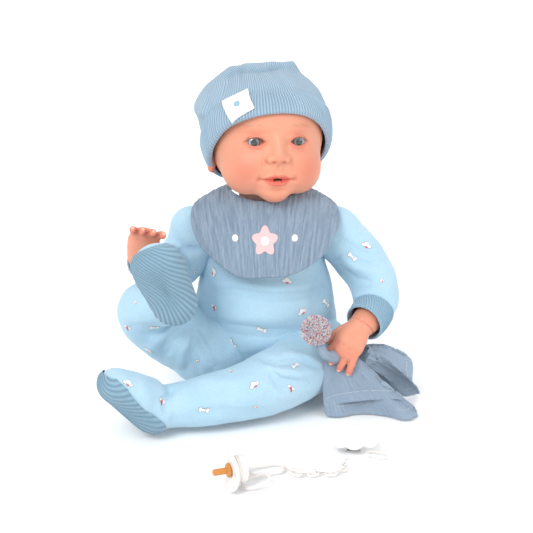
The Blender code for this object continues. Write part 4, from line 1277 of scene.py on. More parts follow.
        uu, vv = np.meshgrid(side, side)
        top = at(uu.ravel(), vv.ravel(), 0.75).reshape(n, n, 3)
        tag = lofted("hat_square_label", from_head(top.reshape(-1, 3)).reshape(n, n, 3), around=False)
        thick = tag.modifiers.new("thick", "SOLIDIFY")
        thick.thickness, thick.offset = 0.0006, 0.0
        settle(tag)
        self.wardrobe.dress(tag, "label")
        turn = np.linspace(0, 2 * np.pi, 40, endpoint=False)
        dot = np.stack([2.6 * np.sin(turn), 2.6 * np.cos(turn)], 1)
        marks = [("stitch_blue", dot)]
        pieces = [tag]
        for finish, outline in marks:
            middle = outline.mean(0)
            inner = middle + (outline - middle) * 0.5
            rings = np.stack([at(ring[:, 0], ring[:, 1], 1.16) for ring in (outline, inner)])
            mark = lofted("mark", from_head(rings.reshape(-1, 3)).reshape(rings.shape), caps=True)
            self.wardrobe.dress(mark, finish)
            face_stand(mark)
            pieces.append(mark)
        tag = joined("hat_square_label", pieces)
        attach(tag, "head")
        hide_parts("hat_label")


def face_stand(piece: bpy.types.Object) -> None:
    """Turns a flat mark's faces outwards, away from the doll's middle line."""
    mesh = bmesh.new()
    mesh.from_mesh(piece.data)
    mesh.normal_update()
    middle = Vector((0, 0, 0.10))
    centre = sum((f.calc_center_median() for f in mesh.faces), Vector()) / len(mesh.faces)
    for face in mesh.faces:
        if face.normal.dot(centre - middle) < 0:
            face.normal_flip()
    mesh.to_mesh(piece.data)
    mesh.free()


ARMS = {
    Side.RIGHT: (mm(-58, 0, 132.5), mm(-72, -4, 86), mm(-101, -55, 134)),
    Side.LEFT: (mm(58, 0, 132.5), mm(115, -6, 80), mm(77, -58, 72)),
}  # shoulder, the point that draws the curve to the elbow, wrist
LEGS = {
    Side.RIGHT: (
        mm(-40, -22, 33.5), mm(-134, -38, 84), mm(-76, -70, 98), mm(-72, -84, 106), mm(-86, -93, 146)
    ),
    Side.LEFT: (mm(40, -22, 33.5), mm(20, -98, 34), mm(-80, -101, 21), mm(-88, -109, 23), mm(-113, -119, 53)),
}  # hip, the point that draws the curve to the knee, ankle, middle of the heel and of the toes
SOLE_WAYS = {Side.RIGHT: Vector((0.10, -0.985, -0.06)), Side.LEFT: Vector((-0.70, -0.42, -0.58))}


def frame_at(place: Vector, forward: Vector, up: Vector) -> Matrix:
    """A matrix whose Y looks along forward and whose Z is near up."""
    y = forward.normalized()
    x = y.cross(up).normalized()
    return Matrix.Translation(place) @ Matrix((x, y, x.cross(y))).transposed().to_4x4()


def moved(rings: np.ndarray, place: Matrix) -> np.ndarray:
    """Rings taken through a matrix."""
    m = np.array(place)
    return rings @ m[:3, :3].T + m[:3, 3]


def chart_of(rings: np.ndarray) -> np.ndarray:
    """A pattern map in millimetres: round each ring, and along the rings."""
    rows, columns = rings.shape[:2]
    closed = np.concatenate([rings, rings[:, :1]], 1)
    length = np.linalg.norm(np.diff(closed, axis=1), axis=2).sum(1).max() / MM
    u = np.linspace(0, 1, columns + 1)[None, :] * length + np.zeros((rows, 1))
    step = np.linalg.norm(np.diff(rings, axis=0), axis=2).mean(1) / MM
    v = np.concatenate([[0], np.cumsum(step)])[:, None] + np.zeros((1, columns + 1))
    return np.stack([u, v], -1)


class Motif(Enum):
    """The small things printed on the romper."""

    CLOUD = "cloud"
    BONE = "bone"
    BOW = "bow"
    DOT = "dot"


def disc(x: float, y: float, a: float, b: float, sides: int = 18, turn: float = 0.0) -> np.ndarray:
    """An oval outline in millimetres."""
    t = np.linspace(0, 2 * np.pi, sides, endpoint=False)
    px, py = a * np.cos(t), b * np.sin(t)
    return np.stack(
        [x + px * math.cos(turn) - py * math.sin(turn), y + px * math.sin(turn) + py * math.cos(turn)], 1
    )


def motif_layers(kind: Motif) -> list[tuple[str, np.ndarray]]:
    """Inked shapes of a motif, the lowest first: finish and outline."""
    if kind is Motif.CLOUD:
        puffs = [(-2.6, -0.3, 1.7, 1.4), (0.0, 0.9, 2.2, 1.9), (2.6, -0.2, 1.8, 1.5)]
        return (
            [("print_grey", disc(x, y, a + 0.28, b + 0.28)) for x, y, a, b in puffs]
            + [("print_white", disc(x, y, a, b)) for x, y, a, b in puffs]
            + [
                ("print_red", disc(0.5, -1.7, 1.2, 0.75, 12, 0.3)),
                ("print_grey", disc(2.7, 0.3, 0.34, 0.34, 8))
            ]
        )
    if kind is Motif.BONE:
        knobs = [(-3.0, 0.9, 1.3, 1.2), (-3.0, -0.8, 1.3, 1.2), (3.0, 0.9, 1.3, 1.2), (3.0, -0.8, 1.3, 1.2)]
        return (
            [("print_grey", disc(x, y, a + 0.26, b + 0.26)) for x, y, a, b in knobs + [(0, 0, 3.2, 1.1)]]
            + [("print_white", disc(x, y, a, b)) for x, y, a, b in knobs + [(0, 0, 3.2, 1.1)]]
            + [("print_grey", disc(1.2, 0.2, 0.45, 0.3, 8))]
        )
    if kind is Motif.BOW:
        wings = [(-1.9, 0.4, 1.9, 1.15, 0.4), (1.9, 0.4, 1.9, 1.15, -0.4)]
        return (
            [("print_grey", disc(x, y, a + 0.25, b + 0.25, 18, t)) for x, y, a, b, t in wings]
            + [("print_white", disc(x, y, a, b, 18, t)) for x, y, a, b, t in wings]
            + [("print_red", disc(0, -0.2, 1.1, 1.25, 12)), ("print_red", disc(0.9, -2.0, 0.7, 1.4, 12, 0.5))]
        )
    return [
        ("print_grey", disc(0, 0, 1.9, 1.6)), ("print_white", disc(0, 0, 1.65, 1.35)),
        ("print_red", disc(0.4, -0.3, 0.75, 0.6, 10))
    ]


@dataclass
class Inker:
    """Lays flat marks on a finished surface, a little proud of it."""

    wardrobe: Wardrobe
    target: bpy.types.Object
    tree: BVHTree = field(init=False)
    marks: list[bpy.types.Object] = field(default_factory=list)

    def __post_init__(self) -> None:
        """Reads the surface."""
        self.tree = BVHTree.FromObject(self.target, bpy.context.evaluated_depsgraph_get())

    def lay(
        self, finish: str, outline: np.ndarray, origin: Vector, way: Vector, up: Vector, lift: float,
        strip: bool = False
    ) -> bool:
        """Casts an outline along a way and keeps what it meets.

        Args:
            finish: The mark's finish.
            outline: Points in mm; a strip gives its two sides one after the other, each of half the points.
            origin: Where the outline's (0, 0) starts from, off the surface.
            way: The way it is cast.
            up: The outline's up.
            lift: How far it stands proud, in mm.
            strip: Whether the outline is a strip.

        Returns:
            Whether the whole mark lies on the surface.
        """
        across = way.cross(up).normalized()
        high = across.cross(way).normalized()
        if strip:
            half = len(outline) // 2
            shares = [outline[:half] * (1 - s) + outline[half:] * s for s in (0.0, 0.5, 1.0)]
        else:
            middle = outline.mean(0)
            steps = 12 if np.ptp(outline, axis=0).max() > 15 else 3
            shares = [middle + (outline - middle) * s for s in np.linspace(1.0, 0.08, steps + 1)]
        rows, near = [], None
        for ring in shares:
            row = []
            for x, y in ring:
                start = origin + (across * x + high * y) * MM
                spot, normal, _, far = self.tree.ray_cast(start, way)
                if spot is None or normal.dot(way) > -0.12 or (near is not None and abs(far - near) > 0.02):
                    return False
                near = far
                row.append(spot - way * lift * MM)
            rows.append(row)
        mark = lofted("mark", np.array([[tuple(v) for v in row] for row in rows]), around=not strip)
        mesh = bmesh.new()
        mesh.from_mesh(mark.data)
        if not strip:
            inner = mesh.verts[:][-len(rows[0]) :]
            bmesh.ops.contextual_create(mesh, geom=inner)
        mesh.normal_update()
        for face in mesh.faces:
            if face.normal.dot(way) > 0:
                face.normal_flip()
        mesh.to_mesh(mark.data)
        mesh.free()
        self.wardrobe.dress(mark, finish)
        self.marks.append(mark)
        return True

    def stamp(self, kind: Motif, origin: Vector, way: Vector, up: Vector) -> bool:
        """Lays a whole motif, or nothing where it would hang over an edge."""
        before = len(self.marks)
        for n, (finish, outline) in enumerate(motif_layers(kind)):
            if not self.lay(finish, outline, origin, way, up, 0.10 + 0.045 * n):
                for mark in self.marks[before:]:
                    bpy.data.objects.remove(mark, do_unlink=True)
                del self.marks[before:]
                return False
        return True

    def scatter(self, count: int, apart: float, seed: int, taken: list[Vector]) -> None:
        """Strews motifs over the surface, keeping them apart.

        Args:
            count: How many tries.
            apart: Least distance between two, in mm.
            seed: Start of the random row.
            taken: Where motifs lie already; new ones are added.
        """
        dice = random.Random(seed)
        faces = self.target.data.polygons
        kinds = list(Motif)
        for _ in range(count):
            face = faces[dice.randrange(len(faces))]
            spin, kind = dice.uniform(-1.2, 1.2), kinds[dice.randrange(len(kinds))]
            if any((face.center - spot).length < apart * MM for spot in taken):
                continue
            way = -face.normal
            up = Matrix.Rotation(spin, 3, way) @ (
                Vector((0, 0, 1)) if abs(way.z) < 0.8 else Vector((0, 1, 0))
            )
            if self.stamp(kind, face.center - way * 0.004, way, up):
                taken.append(face.center.copy())

    def apart(self, name: str, body: str, slot: str) -> bpy.types.Object:
        """The marks as a piece of their own, riding on a body."""
        made = joined(name, self.marks)
        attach(made, body)
        return made

    def done(self) -> bpy.types.Object:
        """Joins the marks to the surface."""
        name = self.target.name
        return joined(name, [self.target, *self.marks]) if self.marks else self.target


SEEN_MOTIFS: dict[str, tuple[tuple[float, float, Motif, float], ...]] = {
    "body": (
        (17.2, -12.2, Motif.CLOUD, 0.2), (50, -31, Motif.BONE, 0.9), (30, -38, Motif.CLOUD, -0.5),
        (-44, -34, Motif.BOW, 0.3), (-4, -53, Motif.BONE, 0.4), (-58, -5, Motif.DOT, 0)
    ),
    "arm_right": ((-71, -1.3, Motif.BONE, -0.4), (-60, -5, Motif.DOT, 0.1)),
    "arm_left": ((84, 18, Motif.CLOUD, 0.4), (97, -12, Motif.DOT, 0.2), (72, 8, Motif.BONE, 0.7)),
    "leg_right": (
        (-117, -51, Motif.BOW, 0.5), (-94, -51, Motif.BONE, -0.2), (-99, -71, Motif.CLOUD, 0.8),
        (-58, -79.5, Motif.DOT, 0.2), (-110, -30, Motif.DOT, 0)
    ),
    "leg_left": (
        (24, -83.5, Motif.BONE, -0.5), (-10.5, -99.5, Motif.CLOUD, -0.6), (20.5, -102, Motif.BOW, 0.5),
        (-52.5, -120.5, Motif.BONE, 0.3), (-88, -113, Motif.BOW, 0.8), (-30, -88, Motif.DOT, 0),
        (-9, -118, Motif.DOT, 0)
    ),
}

BODY_FOLDS = (
    Fold(((-52, -16), (-30, -13), (5, -19), (35, -17), (56, -8)), 1.1, 6),
    Fold(((-54, -24), (-30, -22), (5, -28), (35, -25), (56, -17)), -1.4, 5),
    Fold(((-46, -38), (-20, -42), (15, -42), (50, -34)), 0.9, 7),
    Fold(((-54, -45), (-30, -53), (0, -57), (30, -54)), -1.5, 5),
    Fold(((-56, 0), (-50, -20), (-46, -45)), -1.6, 5),
    Fold(((-42, -62), (-20, -69), (10, -66), (30, -62)), 1.2, 6),
    Fold(((38, 0), (44, -18), (40, -40)), -1.2, 5),
    Fold(((54, 0), (55, -22), (50, -48)), 1.0, 5),
)
LEG_FOLDS = {
    Side.RIGHT: (
        Fold(((-64, -48), (-82, -62), (-86, -78)), -1.7, 4.0),
        Fold(((-60, -54), (-70, -70), (-72, -88)), 1.3, 4.5),
        Fold(((-62, -50), (-54, -68), (-44, -84)), -2.0, 4.0),
        Fold(((-76, -46), (-98, -54), (-118, -50)), -1.2, 5),
        Fold(((-70, -47), (-92, -62), (-104, -78)), 1.0, 5),
        Fold(((-58, -48), (-61, -70), (-56, -92)), -1.3, 3.2),
        Fold(((-122, -20), (-126, -36), (-118, -54)), 0.8, 6),
        Fold(((-112, -66), (-94, -84), (-70, -94)), -0.9, 5),
    ),
    Side.LEFT: (
        Fold(((4, -88), (10, -95), (24, -98), (38, -100)), -2.6, 3.6),
        Fold(((0, -83), (10, -88), (26, -90), (44, -88)), 1.6, 4.5),
        Fold(((-8, -76), (8, -80), (30, -77), (46, -86)), -1.6, 3.2),
        Fold(((16, -72), (34, -76), (46, -82)), 1.1, 3),
        Fold(((-4, -96), (10, -108), (22, -112)), 1.1, 4),
        Fold(((-78, -104), (-86, -112), (-84, -124)), -1.5, 2.6),
        Fold(((-74, -100), (-77, -112), (-74, -128)), 0.8, 4),
        Fold(((-60, -94), (-40, -98), (-14, -94)), 0.8, 5),
        Fold(((-70, -128), (-44, -122), (-16, -124), (4, -120)), -1.0, 5),
        Fold(((-30, -80), (-34, -100), (-28, -120)), -0.7, 6),
        Fold(((-108, -92), (-100, -108), (-104, -128)), 0.7, 7),
    ),
}
ARM_FOLDS = {
    Side.RIGHT: (
        Fold(((-84, 6), (-70, 12), (-56, 14)), -1.6, 3.2), Fold(((-82, -2), (-70, 4), (-58, 6)), 1.2, 4),
        Fold(((-84, -8), (-70, -8), (-60, -14)), -1.5, 3.5), Fold(((-76, 26), (-68, 12), (-62, -4)), -0.9, 4),
    ),
    Side.LEFT: (
        Fold(((62, 22), (76, 12), (92, 4)), -1.6, 4), Fold(((60, 10), (74, 0), (92, -6)), 1.5, 5), Fold(((60, -2), (74, -14), (90, -14)), -1.9, 4),
        Fold(
            ((62, -14), (70, -24), (84, -26)), 1.0, 4
        ), Fold(((96, 4), (104, -12), (100, -30)), 0.9, 6), Fold(((70, 34), (84, 22), (92, 8)), 0.9, 5),
    ),
}


@dataclass
class Romper:
    """Footed jersey suit: body, sleeves, legs, collar, ribbed cuffs and soles."""

    wardrobe: Wardrobe
    torso: tuple[tuple[float, ...], ...] = (
        (2.2, 46, 38, 6), (9, 55, 44, 5), (24, 60.2, 47.2, 4), (48, 60.2, 49.2, 2), (75, 57.2, 50.2, -2),
        (98, 52.4, 47.4, -3), (118, 46.4, 41.4, -2), (134, 40.4, 34.4, 0), (146, 32, 27, 0),
    )  # height, half width, half depth and middle
    sleeve_stops: tuple[float, ...] = (0, 0.22, 0.42, 0.58, 0.68, 0.735, 0.765)
    sleeve_halves: tuple[float, ...] = (21.2, 21.0, 20.6, 19.6, 18.6, 17.4, 15.8)
    leg_stops: tuple[float, ...] = (0, 0.2, 0.4, 0.55, 0.7, 0.85, 1)
    leg_halves: tuple[float, ...] = (29, 27.4, 25.4, 23.6, 21.4, 19.0, 17)
    taken: list[Vector] = field(default_factory=list)

    def print_on(self, piece: bpy.types.Object, key: str, seed: int, tries: int) -> bpy.types.Object:
        """Prints the motifs of one piece, those that show first."""
        inker = Inker(self.wardrobe, piece)
        for u, v, kind, turn in SEEN_MOTIFS[key]:
            start, way = sight(u, v)
            up = Matrix.Rotation(turn, 3, way) @ Vector((0, 0, 1))
            near = start + way * 1.25
            spot, normal, _, _ = inker.tree.ray_cast(near, way)
            if spot is None:
                continue
            inward = (-normal * 0.6 + way * 0.4).normalized()
            if inker.stamp(kind, spot - inward * 0.006, inward, up):
                self.taken.append(spot.copy())
        inker.scatter(tries, 27, seed, self.taken)
        return inker.done()

    def body(self) -> None:
        """The suit's body with its soft folds."""
        rows = np.array(self.torso)
        high = np.linspace(rows[0, 0], rows[-1, 0], 70)
        turn = np.linspace(0, 2 * np.pi, 110, endpoint=False)
        a, b, c = (np.interp(high, rows[:, 0], rows[:, k]) for k in (1, 2, 3))
        a, b = a + 1.3, b + 1.3
        rings = np.stack([
            a[:, None] * np.sin(turn) * np.ones((70, 1)), c[:, None] - b[:, None] * np.cos(turn), high[:, None] + 0 * turn,
        ], -1) * MM
        form = lofted("romper_body", rings, caps=True)
        shell = fused("romper_body", [form], 0.0021, 10, 1)
        wrinkle(shell, 1.3, (60, 60, 16), 3.1)
        wrinkle(shell, 0.5, (25, 25, 9), 8.7)
        for fold in BODY_FOLDS:
            fold.push(shell)
        co = coords(shell)
        co[:, 2] = np.maximum(co[:, 2], 0.0012)
        set_coords(shell, co)
        self.wardrobe.dress(shell, "jersey")
        shell = self.print_on(shell, "body", 5, 260)
        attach(shell, "torso")
        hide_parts("romper_torso")
        LOG.info("romper body: %d faces", len(shell.data.polygons))
        self.collar()
        self.opening()

    def collar(self) -> None:
        """Bound neck edge under the bib."""
        turn = np.linspace(0, 2 * np.pi, 200, endpoint=False)
        profile = [
            (27.6, 148.2), (27.0, 151), (26.9, 154.5), (27.7, 157.0), (29.2, 157.6), (30.4, 156.6),
            (30.9, 153.5), (31.2, 150), (31.6, 147.4), (29.4, 146.8)
        ]
        rings = np.array(
            [np.stack([r * np.sin(turn), -r * np.cos(turn), z + 0 * turn], 1) for r, z in profile]
        ) * MM
        ring = lofted("neck_binding", rings, along=True, chart=None)
        self.wardrobe.dress(ring, "jersey_binding")
        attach(ring, "torso")
        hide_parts("romper_collar")

    def opening(self) -> None:
        """Sewn strip of the opening at the back, with its stitches."""
        tree = BVHTree.FromObject(bpy.data.objects["romper_body"], bpy.context.evaluated_depsgraph_get())
        high, wide = np.linspace(22, 118, 50), np.linspace(-9, 9, 13)
        rows = []
        for z in high:
            row = []
            for x in wide:
                spot = tree.ray_cast(mm(x, 90, z), Vector((0, -1, 0)))[0]
                row.append(tuple(spot + mm(0, 0.9 - 0.5 * (abs(x) / 9) ** 6, 0)))
            rows.append(row)
        strip = lofted("back_opening", np.array(rows), around=False)
        thick = strip.modifiers.new("thick", "SOLIDIFY")
        thick.thickness, thick.offset = 0.0008, 0.0
        settle(strip)
        self.wardrobe.dress(strip, "jersey_binding")
        inker = Inker(self.wardrobe, strip)
        for x in (-7.2, 7.2):
            for z in range(24, 117, 3):
                inker.lay(
                    "stitch_blue",
                    np.array(
                        [(x - 0.22, z - 0.9), (x - 0.22, z + 0.9), (x + 0.22, z - 0.9), (x + 0.22, z + 0.9)]
                    ),
                    Vector((0, 0.09, 0)), Vector((0, -1, 0)), Vector((0, 0, 1)), 0.12, True
                )
        for z in (40, 70, 100):
            inker.lay(
                "print_white", disc(0, z, 3.6, 3.6, 28), Vector((0, 0.09, 0)), Vector((0, -1, 0)),
                Vector((0, 0, 1)), 0.5
            )
            inker.lay(
                "stitch_pale", disc(0, z, 2.0, 2.0, 20), Vector((0, 0.09, 0)), Vector((0, -1, 0)),
                Vector((0, 0, 1)), 0.62
            )
        strip = inker.done()
        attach(strip, "torso")
        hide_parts("romper_back_strip")

    def sleeve(self, side: Side) -> None:
        """One sleeve, full over its cuff."""
        shoulder, bend, wrist = ARMS[side]
        shares = np.linspace(0, 0.765, 70)
        path = bezier(shoulder, bend, wrist, shares)
        inward = np.array((12 if side is Side.RIGHT else -12, 0, 2)) * MM
        path = np.vstack([path[0] + inward, path[0] + inward * 0.5, path])
        halves = np.concatenate([[19.5, 21.0], np.interp(shares, self.sleeve_stops, self.sleeve_halves)]) * MM
        rings = sweep(path, np.stack([halves, halves], 1), 72, Vector((0, 1, 0)), (5, 0))
        form = lofted("sleeve", rings, caps=True)
        ball = lofted(
            "ball", sweep(path[2:5], np.full((3, 2), 22.6) * MM, 60, Vector((0, 1, 0)), (10, 10)), caps=True
        )
        sleeve = fused(f"romper_sleeve_knit_{side.value}", [form, ball], 0.0016, 6, 1)
        wrinkle(sleeve, 1.2, (22, 22, 12), 1.7 if side is Side.LEFT else 6.2)
        for fold in ARM_FOLDS[side]:
            fold.push(sleeve)
        self.wardrobe.dress(sleeve, "jersey")
        sleeve = self.print_on(sleeve, f"arm_{side.value}", 11 if side is Side.LEFT else 12, 60)
        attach(sleeve, f"arm_{side.value}")
        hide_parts(f"romper_sleeve_{side.value}")
        LOG.info("%s: %d faces", sleeve.name, len(sleeve.data.polygons))
        self.cuff(side)

    def cuff(self, side: Side) -> None:
        """One ribbed cuff, its ribs along the arm."""
        stops = np.concatenate(
            [[0.752, 0.757], np.linspace(0.765, 0.935, 14), [0.940, 0.942, 0.938, 0.92, 0.88]]
        )
        halves = np.interp(stops, (0.75, 0.77, 0.86, 0.935), (16.6, 17.3, 17.0, 16.3))
        halves[-5:] = (15.9, 15.3, 14.7, 14.3, 14.2)
        halves[0] = 15.2
        path = bezier(*ARMS[side], stops)
        smoothed = bezier(*ARMS[side], np.linspace(0.74, 0.95, len(stops)))
        rings = sweep(smoothed, np.stack([halves, halves], 1) * MM, 384, Vector((0, 1, 0)))
        rings = rings - smoothed[:, None] + path[:, None]
        turn = np.linspace(0, 2 * np.pi, 384, endpoint=False)
        show = np.interp(np.arange(len(stops)), (0, 2, 15, 18), (0, 1, 1, 0))
        out = rings - path[:, None]
        rings = path[:, None] + out * (1 + 0.022 * show[:, None, None] * np.cos(turn * 48)[None, :, None])
        chart = chart_of(rings)
        chart[:, :, 0] = np.linspace(0, 48 * RIB_PITCH, 385)[None, :] + RIB_PITCH * 0.25
        cuff = lofted(f"ribbed_cuff_{side.value}", rings, chart=chart)
        self.wardrobe.dress(cuff, "rib_cuff")
        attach(cuff, f"arm_{side.value}")
        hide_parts(f"romper_cuff_{side.value}")

    def foot_rings(self, side: Side, grow: float, sides: int = 60) -> np.ndarray:
        """A chubby foot from heel to toes."""
        heel, toe = LEGS[side][3:]
        down = SOLE_WAYS[side]
        a = np.interp(np.linspace(0, 1, 24), (0, 0.35, 0.72, 1), (15.0, 15.0, 12.8, 10.2))
        b = np.interp(np.linspace(0, 1, 24), (0, 0.35, 0.72, 1), (14.5, 15.2, 16.8, 15.6))
        spots = np.array(
            [tuple(heel.lerp(toe, s) + down * (15 - one) * MM) for s, one in zip(np.linspace(0, 1, 24), a)]
        )
        return sweep(spots, (np.stack([a, b], 1) + grow) * MM, sides, down, (5, 5))

    def leg(self, side: Side) -> None:
        """One leg with its foot and ribbed sole."""
        hip, bend, ankle = LEGS[side][:3]
        shares = np.linspace(0, 1, 80)
        path = bezier(hip, bend, ankle, shares)
        halves = (np.interp(shares, self.leg_stops, self.leg_halves) + 1.0) * MM
        rings = sweep(path, np.stack([halves, halves], 1), 90, Vector((0, 1, 0)), (6, 6))
        foot = lofted("foot", self.foot_rings(side, 3.9), caps=True)
        joint = bezier(hip, bend, ankle, np.linspace(0, 0.05, 3))
        ball = lofted(
            "hip", sweep(joint, np.full((3, 2), 33.2) * MM, 64, Vector((0, 1, 0)), (12, 12)), caps=True
        )
        leg = fused(
            f"romper_leg_knit_{side.value}", [lofted("leg", rings, caps=True), foot, ball], 0.0017, 8, 1
        )
        wrinkle(leg, 1.1, (30, 30, 18), 4.4 if side is Side.LEFT else 9.3)
        wrinkle(leg, 0.45, (10, 10, 8), 2.4)
        for fold in LEG_FOLDS[side]:
            fold.push(leg)
        co = coords(leg)
        co[:, 2] = np.maximum(co[:, 2], 0.0004)
        set_coords(leg, co)
        self.wardrobe.dress(leg, "jersey")
        sole = self.sole(side, leg)
        leg = self.print_on(leg, f"leg_{side.value}", 21 if side is Side.LEFT else 23, 110)
        for piece, node, slot in ((leg, "leg", "jersey"), (sole, "sole", "rib")):
            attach(piece, f"leg_{side.value}")
            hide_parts(f"romper_{node}_{side.value}")
        LOG.info("%s: %d faces", leg.name, len(leg.data.polygons))

    def sole(self, side: Side, leg: bpy.types.Object) -> bpy.types.Object:
        """Ribbed sole, cast onto the foot and wrapped over its edge."""
        heel, toe = LEGS[side][3:]
        down = SOLE_WAYS[side].normalized()
        base = frame_at(heel.lerp(toe, 0.5), toe - heel, down)
        turn_out = base.to_3x3()
        foot = [lofted("foot", self.foot_rings(side, 4.5, 90), caps=True)]
        foot = fused("foot", foot, 0.0014, 5, 1)
        trees = [BVHTree.FromObject(one, bpy.context.evaluated_depsgraph_get()) for one in (foot, leg)]
        rings_n, turns_n = 60, 260
        turn = np.linspace(0, 2 * np.pi, turns_n, endpoint=False)
        rows, chart = [], []
        for share in np.linspace(1.0, 0.02, rings_n):
            row, flat = [], []
            for t in turn:
                sx, cy = math.sin(t), math.cos(t)
                wide = (19.0 if side is Side.RIGHT else 15.5) + 1.6 * cy
                long = 39.5 if cy > 0 else 37.0
                x, y = share * wide * math.copysign(abs(sx) ** 0.9, sx), share * long * math.copysign(abs(cy) ** 0.94, cy) + 1.0
                reach = 1.28 * share
                lean = Vector((math.sin(reach * x / max(wide, 1) * 0.9), math.sin(reach * y / 38 * 0.75), 0))
                lean.z = math.sqrt(max(0.02, 1 - lean.length_squared))
                out = (turn_out @ lean).normalized()
                core = base @ (Vector((x * 0.42, y * 0.66, 0)) * MM)
                best = 0.0
                for tree in trees:
                    hit = tree.ray_cast(core + out * 0.06, -out)
                    if hit[0] is not None and (hit[0] - core).dot(out) > best:
                        best = (hit[0] - core).dot(out)
                u = x * 0.92 + y * 0.34 + 0.007 * y * y
                ridge = 0.30 * math.cos(2 * math.pi * u / 2.3) * min(1.0, (1 - share) * 14)
                edge = -0.5 * max(0.0, (share - 0.94) / 0.06)
                row.append(tuple(core + out * (best + (0.75 + ridge + edge) * MM)))
                flat.append((u - 2.3 * 0.25 + 2.3 * 0.5, -x * 0.34 + y * 0.92))
            rows.append(row)
            chart.append(flat + [flat[0]])
        sole = lofted(f"ribbed_sole_{side.value}", np.array(rows), chart=np.array(chart), caps=False)
        mesh = bmesh.new()
        mesh.from_mesh(sole.data)
        mesh.verts.ensure_lookup_table()
        bmesh.ops.contextual_create(mesh, geom=mesh.verts[-turns_n:])
        mesh.normal_update()
        if sum(f.normal.dot(down) * f.calc_area() for f in mesh.faces) < 0:
            bmesh.ops.reverse_faces(mesh, faces=mesh.faces)
        mesh.to_mesh(sole.data)
        mesh.free()
        bpy.data.objects.remove(foot, do_unlink=True)
        self.wardrobe.dress(sole, "rib_sole")
        return sole

    def build(self) -> None:
        """Makes every piece of the suit."""
        self.body()
        for side in Side:
            self.sleeve(side)
            self.leg(side)


